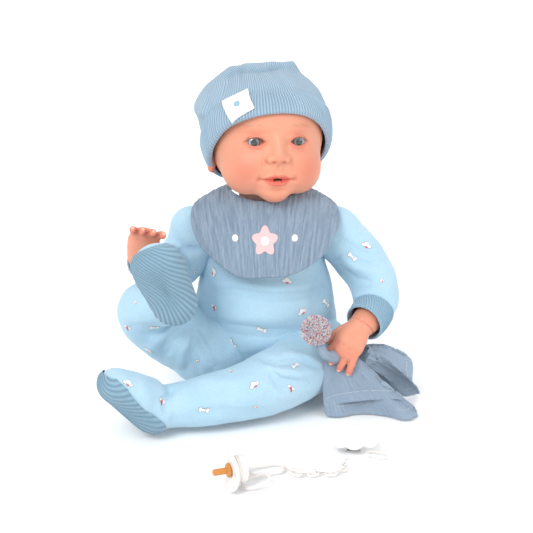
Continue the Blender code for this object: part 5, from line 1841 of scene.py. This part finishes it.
@dataclass
class Hands:
    """Vinyl hands with short chubby fingers."""

    wardrobe: Wardrobe
    lengths: tuple[float, ...] = (17, 19, 17.5, 14)
    curl: float = 0.3
    spread: float = 0.15
    size: float = 0.87

    def place(self, side: Side) -> Matrix:
        """Where a hand is: origin at the wrist, fingers along Y, back of the hand +Z."""
        wrist = ARMS[side][2]
        if side is Side.RIGHT:
            return frame_at(wrist, Vector((0.25, -0.44, 0.86)), Vector((0.05, 0.88, 0.46)))
        return frame_at(wrist, Vector((-0.52, -0.58, -0.63)), Vector((0.10, -0.80, 0.58)))

    def build(self) -> None:
        """Makes both hands with their forearms."""
        for side in Side:
            self.hand(side)

    def hand(self, side: Side) -> None:
        """One hand: forearm, palm, four fingers and thumb as one skin."""
        sign = 1 if side is Side.RIGHT else -1
        parts, tips, knuckles = [], [], []
        palm_at = course([mm(0, -1, 0), mm(0, 9, 0.5), mm(0, 20, 1), mm(0, 29, 0.6)], 16)
        shares = np.linspace(0, 1, 16)
        halves = np.stack(
            [
                np.interp(shares, (0, 0.33, 0.7, 1), row) for row in (
                    (10.8, 9.2, 8.4, 6.4), (11.4, 13.6, 15.0, 13.4)
                )
            ],
            1
        ) * MM
        parts.append(sweep(palm_at, halves, 40, Vector((0, 0, 1)), (4, 5)))
        for n, length in enumerate(self.lengths):
            x, lean, angle = (n - 1.5) * 7.0, (n - 1.5) * self.spread, 0.0
            points = [mm(x * 0.9, 19, 0.9), mm(x, 27, 0.9)]
            for share in (0.40, 0.34, 0.26):
                angle += self.curl
                step = length * share
                points.append(
                    points[-1] + mm(step * math.sin(lean), step * math.cos(angle), -step * math.sin(angle))
                )
            way = (points[-1] - points[-2]).normalized()
            nail = Vector((0, way.z, -way.y)) * -1
            nail = nail if nail.z > 0 or nail.y > 0 else -nail
            tips.append((points[-1] + way * 1.2 * MM + nail * 3.2 * MM, nail))
            knuckles.append(mm(x, 25, 7.2))
            line = course(points, 34)
            along = np.linspace(0, 1, 34)
            thick = np.interp(
                along, (0, 0.2, 0.42, 0.52, 0.66, 0.78, 0.92, 1),
                (4.0, 3.85, 3.75, 3.45, 3.7, 3.35, 3.45, 2.9)
            ) * MM
            parts.append(sweep(line, np.stack([thick, thick * 1.02], 1), 24, Vector((1, 0, 0)), (3, 5)))
        thumb = course(
            [
                mm(-8 * sign, 6, -1.5), mm(-12.5 * sign, 12, -3.4), mm(-15.8 * sign, 18, -5.6),
                mm(-16.5 * sign, 25, -8)
            ],
            24
        )
        thick = np.interp(
            np.linspace(0, 1, 24), (0, 0.3, 0.55, 0.7, 0.88, 1), (6.0, 5.3, 4.5, 4.0, 4.3, 3.5)
        ) * MM
        parts.append(sweep(thumb, np.stack([thick, thick], 1), 24, Vector((0, 0, 1)), (3, 5)))
        place = self.place(side) @ Matrix.Diagonal((self.size, self.size, self.size, 1))
        forms = [lofted("finger", moved(rings, place), caps=True) for rings in parts]
        stops = np.linspace(0.66, 0.995, 20)
        arm_at = bezier(*ARMS[side], stops)
        thick = np.interp(stops, (0.66, 0.85, 0.93, 0.995), (12.9, 12.3, 11.6, 10.4)) * MM
        forms.append(
            lofted(
                "forearm", sweep(arm_at, np.stack([thick, thick], 1), 40, Vector((0, 1, 0)), (4, 4)),
                caps=True
            )
        )
        hand = fused(f"doll_hand_{side.value}", forms, 0.00062, 5, 0)
        inverse = place.inverted()
        m = np.array(inverse)
        p = (coords(hand) @ m[:3, :3].T + m[:3, 3]) / MM
        way = normals(hand)
        # Painted shade goes into the knuckle dimples, between the fingers' roots and into the wrist crease; sink only
        # dents the skin.
        sink, crease_shade, blush, nails = (np.zeros(len(p)) for _ in range(4))
        for spot in knuckles:
            d = np.linalg.norm(p - np.array(spot) / MM, axis=1)
            sink += 0.55 * np.exp(-((d / 1.7) ** 2))
            crease_shade += 0.35 * np.exp(-((d / 1.6) ** 2))
        for n in range(3):
            web = np.array(((n - 1) * 7.0, 29.5, 1.0))
            d = np.linalg.norm((p - web) * np.array((1, 0.35, 0.5)), axis=1)
            crease_shade += 0.75 * np.exp(-((d / 1.3) ** 2))
        for spot, nail in tips:
            q = p - np.array(spot) / MM
            d = np.linalg.norm(q, axis=1)
            nails += smooth(-d, -2.5, -2.0)
            sink += 0.22 * np.exp(-(((d - 2.3) / 0.4) ** 2))
            blush += 0.5 * np.exp(-((d / 5.5) ** 2))
        wrist = np.exp(-(((p[:, 1] + 3.5) / 0.9) ** 2))
        sink += 0.7 * wrist
        crease_shade += 0.4 * wrist
        set_coords(hand, coords(hand) - way * (sink * MM)[:, None])
        blush += 0.45 * smooth(p[:, 1], 18, 32) + 0.2
        for name, values in (("crease_shade", crease_shade), ("blush", blush), ("nail", nails)):
            put_attribute(hand, name, np.clip(values, 0, 1))
        self.wardrobe.dress(hand, "vinyl")
        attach(hand, f"arm_{side.value}")
        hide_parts(f"vinyl_hand_{side.value}")
        LOG.info("%s: %d faces", hand.name, len(hand.data.polygons))


# Closed lines of the comforter's two folds, in mm: where each is gathered, and its hem
FRONT_GATHER = ((47, -67, 54), (58, -70, 59), (69, -71, 56), (75, -68, 49), (66, -60, 47), (53, -60, 47))
FRONT_HEM = (
    (49, -77, 6), (58, -77, 11), (75, -77, 14), (95, -78, 16), (111, -78, 16), (121, -78, 11), (125, -80, 1.3),
    (116, -85, 1.3), (101, -78, 1.3), (86, -74, 1.3), (74, -75, 1.3), (62, -79, 1.3), (52, -78, 1.3),
)
REAR_GATHER = ((71, -62, 54), (79, -60, 56), (84, -62, 56), (81, -68, 45), (72, -72, 47), (68, -70, 52))
REAR_HEM = (
    (96, -46, 49), (111, -42, 44), (121, -42, 37), (123, -50, 32), (122, -58, 22), (130, -37, 1.3), (117, -41, 1.3),
    (104, -32, 1.3), (94, -24, 1.3), (88, -26, 12), (86, -34, 39),
)


def closed_course(points: Sequence[Vector], count: int) -> np.ndarray:
    """Points evenly spread on a smooth closed curve."""
    p = [tuple(v) for v in points]
    ring = course([Vector(q) for q in p[-2:] + p + p[:3]], 1600)
    starts = [
        int(np.argmin(np.linalg.norm(ring[lo:hi] - np.array(p[0]), axis=1)) + lo) for lo,
        hi in ((0, 800), (800, 1600))
    ]
    part = ring[starts[0] : starts[1]]
    length = np.concatenate([[0], np.cumsum(np.linalg.norm(np.diff(part, axis=0), axis=1))])
    at = np.linspace(0, length[-1], count, endpoint=False)
    return np.stack([np.interp(at, length, part[:, k]) for k in range(3)], 1)


def crinkled(piece: bpy.types.Object, chart: np.ndarray, height: float, seed: float) -> None:
    """Lifts a cloth in fine lengthwise crinkles.

    Args:
        piece: A lofted cloth, its points row by row.
        chart: Pattern map in mm, (rows, columns, 2).
        height: Largest lift in mm.
        seed: Where in the noise it starts.
    """
    flat = chart.reshape(-1, 2)
    lift = np.array([
        noise.noise(Vector((u * 0.46, v * 0.055, seed))) + 0.45 * noise.noise(Vector((u * 0.85, v * 0.12, seed + 5))) for u, v in flat
    ])
    set_coords(piece, coords(piece) + normals(piece) * (lift * height * MM)[:, None])


@dataclass
class Bib:
    """Double muslin bib with a plain printed flower."""

    wardrobe: Wardrobe
    turns: int = 480
    rows: int = 96
    thickness: float = 1.5
    flower_radius: float = 9.0
    print_height: float = 145.0
    dot_apart: float = 24.0

    def edge(self, turn: float) -> tuple[float, float]:
        """Distance and height of the outer edge, in mm; 0 is the front."""
        front = math.cos(turn)
        share = max(0.0, front)
        distance = 57 + 9 * share + 7 * math.sin(2 * abs(turn)) * (1 if front > 0 else 0.4) - 11 * max(0.0, -front)
        return distance, 158.5 - 40 * share**1.6 + 2.0 * math.sin(turn) ** 2

    def build(self) -> None:
        """Makes the bib and its print."""
        turn = np.linspace(-np.pi, np.pi, self.turns, endpoint=False)
        share = np.linspace(0, 1, self.rows)
        outer = np.array([self.edge(t) for t in turn])
        front = np.maximum(0, np.cos(turn))
        reach = share[:, None]
        distance = 29.6 + (outer[:, 0] - 29.6) * reach**1.12
        top = 164.6 + 6.2 * front**1.5 + 9.0 * np.sin(turn) ** 2
        height = top + (outer[:, 1] - top) * reach**1.15 + 5.5 * np.sin(np.pi * reach) * front + 1.2 * np.sin(np.pi * reach) * (1 - front)
        wave = 0.9 * np.sin(turn * 7 + 0.6) * reach**3 + 0.6 * np.sin(turn * 12 + 2) * reach**4
        points = np.stack([distance * np.sin(turn), -distance * np.cos(turn), height + wave * front], -1) * MM
        flat = 29.6 + np.concatenate(
            [np.zeros((1, self.turns)), np.cumsum(np.linalg.norm(np.diff(points, axis=0), axis=2), 0)]
        ) / MM
        chart = np.stack([flat * np.sin(turn), -flat * np.cos(turn)], -1)
        sheet = lofted("muslin_bib_sheet", points, chart=np.concatenate([chart, chart[:, :1]], 1))
        if np.mean(normals(sheet)[:, 2]) < 0:
            sheet.data.flip_normals()
        crinkled(sheet, chart, 0.55, 2.0)
        edge = smooth(
            np.repeat(share, self.turns), 0.955, 0.975
        ) - smooth(np.repeat(share, self.turns), 0.975, 1.0)
        set_coords(sheet, coords(sheet) - np.array((0, 0, 0.35)) * MM * edge[:, None])
        thick = sheet.modifiers.new("thick", "SOLIDIFY")
        thick.thickness, thick.offset = self.thickness * MM, -1.0
        settle(sheet)
        self.wardrobe.dress(sheet, "muslin_bib")
        marks = self.print_on(sheet)
        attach(sheet, "torso")
        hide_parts("bib")

    def print_on(self, sheet: bpy.types.Object) -> bpy.types.Object:
        """Lays a plain rounded flower and two dots on the bib's front."""
        inker = Inker(self.wardrobe, sheet)
        turn = np.linspace(0, 2 * np.pi, 120, endpoint=False)
        reach = self.flower_radius * (1 + 0.2 * np.cos(5 * turn))
        flower = np.stack([reach * np.sin(turn), reach * np.cos(turn)], 1)
        inward, up = Vector((0, 1, 0)), Vector((0, 0, 1))
        middle = Vector((0, -0.12, self.print_height * MM))
        marks = [("print_pink", flower, 0.22), ("print_white", disc(0, 0, 3.2, 3.2, 32), 0.34)]
        marks += [("print_white", disc(side * self.dot_apart, 2, 2.4, 2.4, 28), 0.22) for side in (-1, 1)]
        for finish, outline, lift in marks:
            if not inker.lay(finish, outline, middle, inward, up, lift):
                LOG.warning("a mark of the bib was left out: %s", finish)
        return inker.apart("bib_print", "torso", "muslin")


@dataclass
class Comforter:
    """Muslin cloth gathered into the hand, with a pompom."""

    wardrobe: Wardrobe
    pompom: Vector = field(default_factory=lambda: mm(41, -80, 79))
    radius: float = 12.5
    tufts: int = 4200

    def tent(
        self, name: str, gather: Sequence[Vector], hem: Sequence[Vector], sag: float, pinch: float,
        seed: float
    ) -> tuple[bpy.types.Object, bpy.types.Object, float]:
        """An open fold of cloth from a gather to its hem.

        Args:
            name: The object's name.
            gather: Closed line of the gathered end.
            hem: Closed line of the hem.
            sag: How far the middle hangs below a straight line, in mm.
            pinch: Power of the way from gather to hem.
            seed: Start of the crinkles.

        Returns:
            The cloth, its stitches and its area in square metres.
        """
        rows, columns = 110, 300
        first, last = closed_course(gather, columns), closed_course(hem, columns)
        share = np.linspace(0, 1, rows)[:, None, None]
        rings = first + (last - first) * share**pinch
        rings[..., 2] -= sag * MM * np.sin(np.pi * share[..., 0])
        pleat = np.sin(np.linspace(0, 2 * np.pi, columns, endpoint=False) * 9 + seed)[None, :, None]
        middle = rings.mean(1, keepdims=True)
        out = rings - middle
        rings = middle + out * (1 + 0.13 * pleat * (1 - share) ** 2)
        rings[..., 2] = np.maximum(rings[..., 2], 0.0011)
        chart = chart_of(rings)
        cloth = lofted(name, rings, chart=chart)
        volume = sum((v.co - Vector(middle.mean((0, 1)))).dot(v.normal) for v in cloth.data.vertices)
        if volume < 0:
            cloth.data.flip_normals()
        crinkled(cloth, chart[:, :-1], 0.5, seed)
        wrinkle(cloth, 1.6, (26, 26, 14), seed)
        co = coords(cloth)
        co[:, 2] = np.maximum(co[:, 2], 0.0011)
        set_coords(cloth, co)
        area = sum(p.area for p in cloth.data.polygons)
        thick = cloth.modifiers.new("thick", "SOLIDIFY")
        thick.thickness, thick.offset = 0.0010, -1.0
        settle(cloth)
        self.wardrobe.dress(cloth, "muslin_cloth")
        stitches = []
        line = last + (first - last) * 0.11
        inker = BVHTree.FromObject(cloth, bpy.context.evaluated_depsgraph_get())
        for k in range(0, columns - 2, 4):
            ends = []
            for place in (line[k], line[k + 2]):
                spot, normal, _, _ = inker.find_nearest(Vector(place) + Vector((0, 0, 0.003)))
                ends.append((spot + normal * 0.00035, normal))
            if ends[0][0].z < 0.002:
                continue
            (a, n), (b, _) = ends
            side = (b - a).cross(n).normalized() * 0.0003
            quad = np.array([[tuple(a - side), tuple(a + side)], [tuple(b - side), tuple(b + side)]])
            stitches.append(self.wardrobe.dress(lofted("stitch", quad, around=False), "stitch_pale"))
        return cloth, joined(f"{name}_stitches", stitches), area

    def build(self) -> None:
        """Makes the cloth and the pompom."""
        gather = [mm(*spot) for spot in FRONT_GATHER]
        front, front_hem, one = self.tent(
            "comforter_front", gather, [mm(*spot) for spot in FRONT_HEM], 1.5, 1.0, 1.0
        )
        rear_gather, rear_hem = ([mm(*spot) for spot in line] for line in (REAR_GATHER, REAR_HEM))
        rear, back_hem, two = self.tent("comforter_rear", rear_gather, rear_hem, -2.0, 0.9, 4.0)
        stem = sweep(
            course(
                [
                    Vector(np.array(closed_course(gather, 40)).mean(0)) + mm(0, 0, -2), mm(49, -82, 58),
                    mm(44, -81, 68), self.pompom
                ],
                24
            ),
            np.interp(
                np.linspace(0, 1, 24), (0, 0.4, 1), (7.5, 4.2, 3.4)
            )[:, None] * np.ones((1, 2)) * MM, 60, Vector((0, 1, 0)), (3, 3),
        )
        neck = self.wardrobe.dress(
            lofted("comforter_neck", stem, caps=True, chart=chart_of(stem)), "muslin_cloth"
        )
        cloth = joined("muslin_comforter", [front, rear, neck])
        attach(cloth, "comforter")
        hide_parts("comforter_cloth")
        stitches = joined("comforter_stitches", [front_hem, back_hem])
        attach(stitches, "comforter")
        self.ball()

    def ball(self) -> None:
        """Pompom of cut yarn."""
        dice = np.random.default_rng(7)
        spots, faces, tints = [], [], []
        centre = np.array(self.pompom)
        for n in range(self.tufts):
            z = 1 - 2 * (n + 0.5) / self.tufts
            t = n * 2.399963
            way = np.array((math.sqrt(1 - z * z) * math.cos(t), math.sqrt(1 - z * z) * math.sin(t), z))
            way = way + dice.normal(0, 0.05, 3)
            way /= np.linalg.norm(way)
            side = np.cross(way, (0.31, 0.52, 0.79))
            side /= np.linalg.norm(side)
            other = np.cross(way, side)
            reach = self.radius + dice.uniform(-1.3, 0.2)
            tint = float(dice.random())
            bend = (side * dice.normal() + other * dice.normal()) * 0.35
            base = len(spots)
            for far, thick in ((reach - 3.4, 0.50), (reach - 0.3, 0.46), (reach, 0.28)):
                for k in range(4):
                    a = k * math.pi / 2 + t
                    spots.append(
                        centre + (
                            way * far + bend * max(0, far - reach + 3.4) / 3.4 + (
                                side * math.cos(a) + other * math.sin(a)
                            ) * thick
                        ) * MM
                    )
            for ring in (0, 4):
                for k in range(4):
                    faces.append(
                        (
                            base + ring + k, base + ring + (k + 1) % 4, base + ring + 4 + (k + 1) % 4,
                            base + ring + 4 + k
                        )
                    )
            faces.append(tuple(base + 8 + k for k in range(4)))
            faces.append(tuple(base + 3 - k for k in range(4)))
            tints += [tint] * 12
        mesh = bpy.data.meshes.new("pompom_yarn_tufts")
        mesh.from_pydata([tuple(p) for p in spots], [], faces)
        tufts = bpy.data.objects.new("pompom_yarn_tufts", mesh)
        bpy.context.scene.collection.objects.link(tufts)
        put_attribute(tufts, "tint", np.array(tints))
        outward(tufts)
        deselect()
        bpy.ops.mesh.primitive_uv_sphere_add(
            segments=48, ring_count=24, radius=(self.radius - 2.2) * MM, location=tuple(self.pompom)
        )
        core = settle(bpy.context.object)
        put_attribute(core, "tint", np.full(len(core.data.vertices), 0.1))
        self.wardrobe.dress(tufts, "pompom_yarn")
        self.wardrobe.dress(core, "pompom_yarn")
        ball = joined("yarn_pompom", [tufts, core])
        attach(ball, "comforter")
        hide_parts("pompom")


@dataclass
class Dummy:
    """Toy dummy with shield, teat, knob, ring, chain and cloud clip."""

    wardrobe: Wardrobe
    centre: Vector = field(default_factory=lambda: mm(-24.5, -201, 18.2))
    away: Vector = field(default_factory=lambda: Vector((-0.94, -0.34, 0)).normalized())
    chain: tuple[tuple[float, float], ...] = (
        (16.5, -171), (23, -178.5), (32, -181.5), (41, -178), (50, -180), (58, -175), (62.5, -167.5),
        (63, -160)
    )
    links: int = 9

    def keep(self, piece: bpy.types.Object, finish: str, node: str) -> None:
        """Dresses a piece and takes the node's place."""
        self.wardrobe.dress(piece, finish)
        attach(piece, "dummy")
        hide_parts(node)

    def lathe(self, name: str, profile: Sequence[tuple[float, float]], sides: int = 96) -> bpy.types.Object:
        """A turned piece round the dummy's axis: radius and place along it, in mm."""
        turn = np.linspace(0, 2 * np.pi, sides, endpoint=False)
        rings = np.array(
            [np.stack([r * np.cos(turn), h + 0 * turn, r * np.sin(turn)], 1) for r, h in profile]
        ) * MM
        return soften(
            outward(
                lofted(name, moved(rings, frame_at(self.centre, self.away, Vector((0, 0, 1)))), caps=True)
            ),
            35
        )

    def oval(self, name: str, length: float, width: float, wire: float, place: Matrix) -> bpy.types.Object:
        """A closed oval ring of round wire, lying in the XY plane of its place; sizes in mm."""
        straight, bend = (length - width) / 2, (width - wire) / 2
        t = np.linspace(0, 2 * np.pi, 96, endpoint=False)
        middle = np.stack([bend * np.cos(t) + straight * np.sign(np.cos(t)), bend * np.sin(t), 0 * t], 1)
        s = np.linspace(0, 2 * np.pi, 16, endpoint=False)
        out = np.stack([np.cos(t), np.sin(t), 0 * t], 1)
        rings = middle[:, None] + (
            out[:, None] * np.cos(s)[None, :, None] + np.array((0, 0, 1)) * np.sin(s)[None, :, None]
        ) * wire / 2
        ring = lofted(name, moved(rings * MM, place), around=True, along=True)
        return soften(outward(ring), 60)

    def shield(self) -> None:
        """Butterfly shield, its wings turned up and down, with two air holes."""
        turn = np.linspace(0, 2 * np.pi, 160, endpoint=False)
        reach = 12.4 + 5.3 * np.abs(np.cos(turn)) ** 1.7
        profile = [(0.0, 1.9)] + [
            (s, 2.3 * (1 - 0.15 * s)) for s in np.linspace(0.15, 0.9, 12)
        ] + [(0.96, 1.7), (0.99, 1.2), (1.0, 0.5), (0.99, -0.2), (0.96, -0.6)]
        profile += [(s, -1.0) for s in np.linspace(0.9, 0.15, 12)] + [(0.0, -1.0)]
        rings = []
        for s, h in profile:
            high, wide = s * reach * np.cos(turn), s * reach * np.sin(turn)
            rings.append(np.stack([wide, h + 0.010 * high**2 - 0.004 * wide**2 - 0.6, high], 1))
        shield = lofted(
            "butterfly_shield",
            moved(np.array(rings) * MM, frame_at(self.centre, self.away, Vector((0, 0, 1)))), caps=True
        )
        outward(shield)
        place = frame_at(self.centre, self.away, Vector((0, 0, 1)))
        for sign in (1, -1):
            deselect()
            bpy.ops.mesh.primitive_cylinder_add(vertices=40, radius=0.0021, depth=0.02)
            drill = bpy.context.object
            drill.matrix_world = place @ Matrix.Translation(mm(9.4 * sign, 0, 0)) @ Matrix.Rotation(math.pi / 2, 4, "X")
            settle(drill)
            cut = shield.modifiers.new("hole", "BOOLEAN")
            cut.object, cut.operation, cut.solver = drill, "DIFFERENCE", "EXACT"
            settle(shield)
            bpy.data.objects.remove(drill, do_unlink=True)
        self.keep(soften(shield, 35), "white_plastic", "dummy_shield")

    def build(self) -> None:
        """Makes every piece of the dummy and its chain."""
        self.shield()
        teat = [
            (0.01, 15.6), (1.2, 15.55), (2.1, 15.1), (2.55, 14.2), (2.55, 5.6), (2.8, 4.7), (4.6, 4.5),
            (5.3, 4.1), (5.6, 3.3), (5.5, 2.4), (5.0, 1.9), (2.9, 1.75), (2.85, -2.6), (0.01, -2.7)
        ]
        self.keep(self.lathe("teat_peg", teat), "teat_rubber", "dummy_teat")
        knob = [
            (0.01, -10.7), (6.5, -10.65), (9.2, -10.2), (10.2, -9.4), (10.5, -8.2), (10.5, -5.2),
            (10.2, -4.6), (9.6, -4.5), (9.6, -4.0), (10.3, -3.9), (10.5, -3.3), (10.2, -2.4), (4.0, -2.3),
            (0.01, -2.3)
        ]
        self.keep(self.lathe("dummy_knob_cap", knob), "white_plastic", "dummy_knob")
        spot = self.centre - self.away * 19 * MM + mm(0, 0, -13.2)
        turned = Matrix.Rotation(math.atan2(-self.away.y, -self.away.x), 4, "Z")
        self.keep(
            self.oval(
                "grip_ring", 24, 17, 3.0, Matrix.Translation(spot) @ turned @ Matrix.Rotation(-0.22, 4, "Y")
            ),
            "white_plastic", "dummy_ring"
        )
        self.keep(
            self.oval(
                "cord_loop", 31, 16, 2.6,
                Matrix.Translation(mm(1, -172.5, 2.6)) @ Matrix.Rotation(0.35, 4, "Z")
            ),
            "white_plastic", "chain_loop"
        )
        self.run_of_links()
        self.clip()

    def run_of_links(self) -> None:
        """The chain, link through link."""
        line = course([mm(x, y, 4.4) for x, y in self.chain], self.links * 2 + 1)
        made = []
        for n in range(self.links):
            a, b = Vector(line[2 * n]), Vector(line[2 * n + 2])
            middle, way = (a + b) / 2, (b - a)
            length = way.length / MM + 4.0
            tilt = Matrix.Rotation((1 if n % 2 else -1) * math.pi / 4, 4, way.normalized())
            base = frame_at(middle, way, Vector((0, 0, 1)))
            spin = Matrix.Translation(middle) @ tilt @ Matrix.Translation(-middle)
            made.append(
                self.oval("link", length, 7.4, 1.9, spin @ base @ Matrix.Rotation(math.pi / 2, 4, "Z"))
            )
        self.keep(joined("chain_of_links", made), "white_plastic", "chain_links")

    def clip(self) -> None:
        """Cloud-shaped clip with its steel jaw and strap loop."""
        place = Matrix.Translation(mm(70, -136, 10)) @ Matrix.Rotation(0.5, 4, "X")
        lobes = [
            (-10.5, -2.6, 7.4, 1.9), (-4.5, 3.2, 7.6, 2.2), (2.5, 6.0, 8.2, 2.3), (8.8, 0.5, 8.4, 2.1),
            (12.5, -3.6, 6.2, 1.7), (0, -3.6, 8.4, 2.3)
        ]
        forms = []
        for x, y, r, high in lobes:
            deselect()
            bpy.ops.mesh.primitive_uv_sphere_add(segments=40, ring_count=20, radius=1)
            ball = bpy.context.object
            ball.matrix_world = place @ Matrix.Translation(mm(x, y, 1.5)) @ Matrix.Diagonal((r * MM, r * MM * 0.92, high * MM, 1))
            forms.append(settle(ball))
        self.keep(fused("cloud_clip", forms, 0.00045, 3, 0), "white_plastic", "clip_front")
        jaw = [
            self.oval("jaw", 16, 10.5, 1.5, place @ Matrix.Translation(mm(-5.5, -2.4, -1.5))),
            self.oval("jaw", 9, 5, 1.3, place @ Matrix.Translation(mm(-1.0, -2.4, -1.5)))
        ]
        self.keep(joined("steel_jaw", jaw), "steel", "clip_jaw")
        self.keep(
            self.oval(
                "strap_loop", 19, 9.5, 2.2,
                Matrix.Translation(mm(88, -147, 2.2)) @ Matrix.Rotation(-0.45, 4, "Z")
            ),
            "white_plastic", "clip_loop"
        )


@dataclass
class Stage:
    """Pale floor, soft lights and the camera."""

    floor_size: float = 12.0

    def build(self) -> None:
        """Makes floor, world, lights and camera."""
        deselect()
        bpy.ops.mesh.primitive_plane_add(size=self.floor_size, location=(0, 0, -0.0004))
        floor = settle(bpy.context.object)
        floor.name = "floor"
        g = Graph("pale_floor")
        grain = g.noise(g.place(), 3, 2)
        g.colour(g.blend(grain, (0.93, 0.93, 0.93), (0.96, 0.96, 0.96)))
        g.settings(Roughness=0.9, Specular_IOR_Level=0.1)
        floor.data.materials.append(g.material)
        world = bpy.data.worlds.new("studio")
        world.use_nodes = True
        world.node_tree.nodes["Background"].inputs[0].default_value = (1.0, 1.0, 1.0, 1.0)
        world.node_tree.nodes["Background"].inputs[1].default_value = 0.95
        bpy.context.scene.world = world
        for name, place, size, power in (
            ("key", (-0.9, -1.5, 1.7), 0.9, 26.0),
            ("fill", (1.5, -1.2, 1.0), 1.2, 7.0),
            ("back", (0.4, 1.5, 1.4), 1.0, 9.0),
        ):
            light = bpy.data.lights.new(name, "AREA")
            light.size, light.energy = size, power
            lamp = bpy.data.objects.new(name, light)
            bpy.context.scene.collection.objects.link(lamp)
            lamp.location = place
            lamp.rotation_euler = (STAND_TARGET - Vector(place)).to_track_quat("-Z", "Y").to_euler()
        eye = bpy.data.cameras.new("stand")
        eye.sensor_width, eye.lens, eye.clip_start = 36.0, 120.6, 0.05
        camera = bpy.data.objects.new("stand", eye)
        bpy.context.scene.collection.objects.link(camera)
        camera.location = STAND_TARGET + Vector(
            (0, -math.cos(STAND_RISE), math.sin(STAND_RISE))
        ) * STAND_DISTANCE
        camera.rotation_euler = (STAND_TARGET - camera.location).to_track_quat("-Z", "Y").to_euler()
        bpy.context.scene.camera = camera
        bpy.context.scene.view_settings.view_transform = "Standard"
        LOG.info("stage set")


NODE_FINISH = {
    "cloth_": "body_cloth", "vinyl_": "vinyl", "sound_box": "box_plastic", "battery_door": "box_plastic", "power_switch": "cone_paper",
    "button_cell": "steel", "contact_strip": "steel", "circuit_board": "board", "speaker_cone": "cone_paper", "speaker": "steel",
    "sensor_lead": "lead_sheath", "neck_tie": "body_cloth", "neck_sleeve": "body_cloth", "eye_cup": "white_plastic",
    "mouth_sensor": "cone_paper", "bib_snap": "white_plastic", "dummy_magnet": "steel", "dummy_teat": "teat_rubber", "dummy_": "white_plastic",
    "clip_jaw": "steel", "clip_lever": "steel", "clip_": "white_plastic", "chain_": "white_plastic", "romper_": "jersey",
    "hat_label": "label", "hat_": "rib_hat", "head_shell": "vinyl", "eye_": "eye_white", "pompom": "pompom_yarn", "bib": "muslin_bib",
    "comforter": "muslin_cloth",
}


def dress_nodes(nodes: dict[str, bpy.types.Object], wardrobe: Wardrobe) -> None:
    """Gives every node of the frame its finish.

    Args:
        nodes: The frame's nodes by name.
        wardrobe: Where the finishes are.
    """
    for name, node in nodes.items():
        for start, finish in NODE_FINISH.items():
            if name.startswith(start):
                wardrobe.dress(node, finish)
                break


def main() -> None:
    """Builds the looks on the frame, piece by piece."""
    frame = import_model()
    wardrobe = Wardrobe()
    dress_nodes(frame["nodes"], wardrobe)
    DollHead(wardrobe).build()
    Hat(wardrobe).build()
    Romper(wardrobe).build()
    Hands(wardrobe).build()
    Bib(wardrobe).build()
    Comforter(wardrobe).build()
    Dummy(wardrobe).build()
    Stage().build()


if __name__ == "__main__":
    logging.basicConfig(level=logging.INFO)
    main()
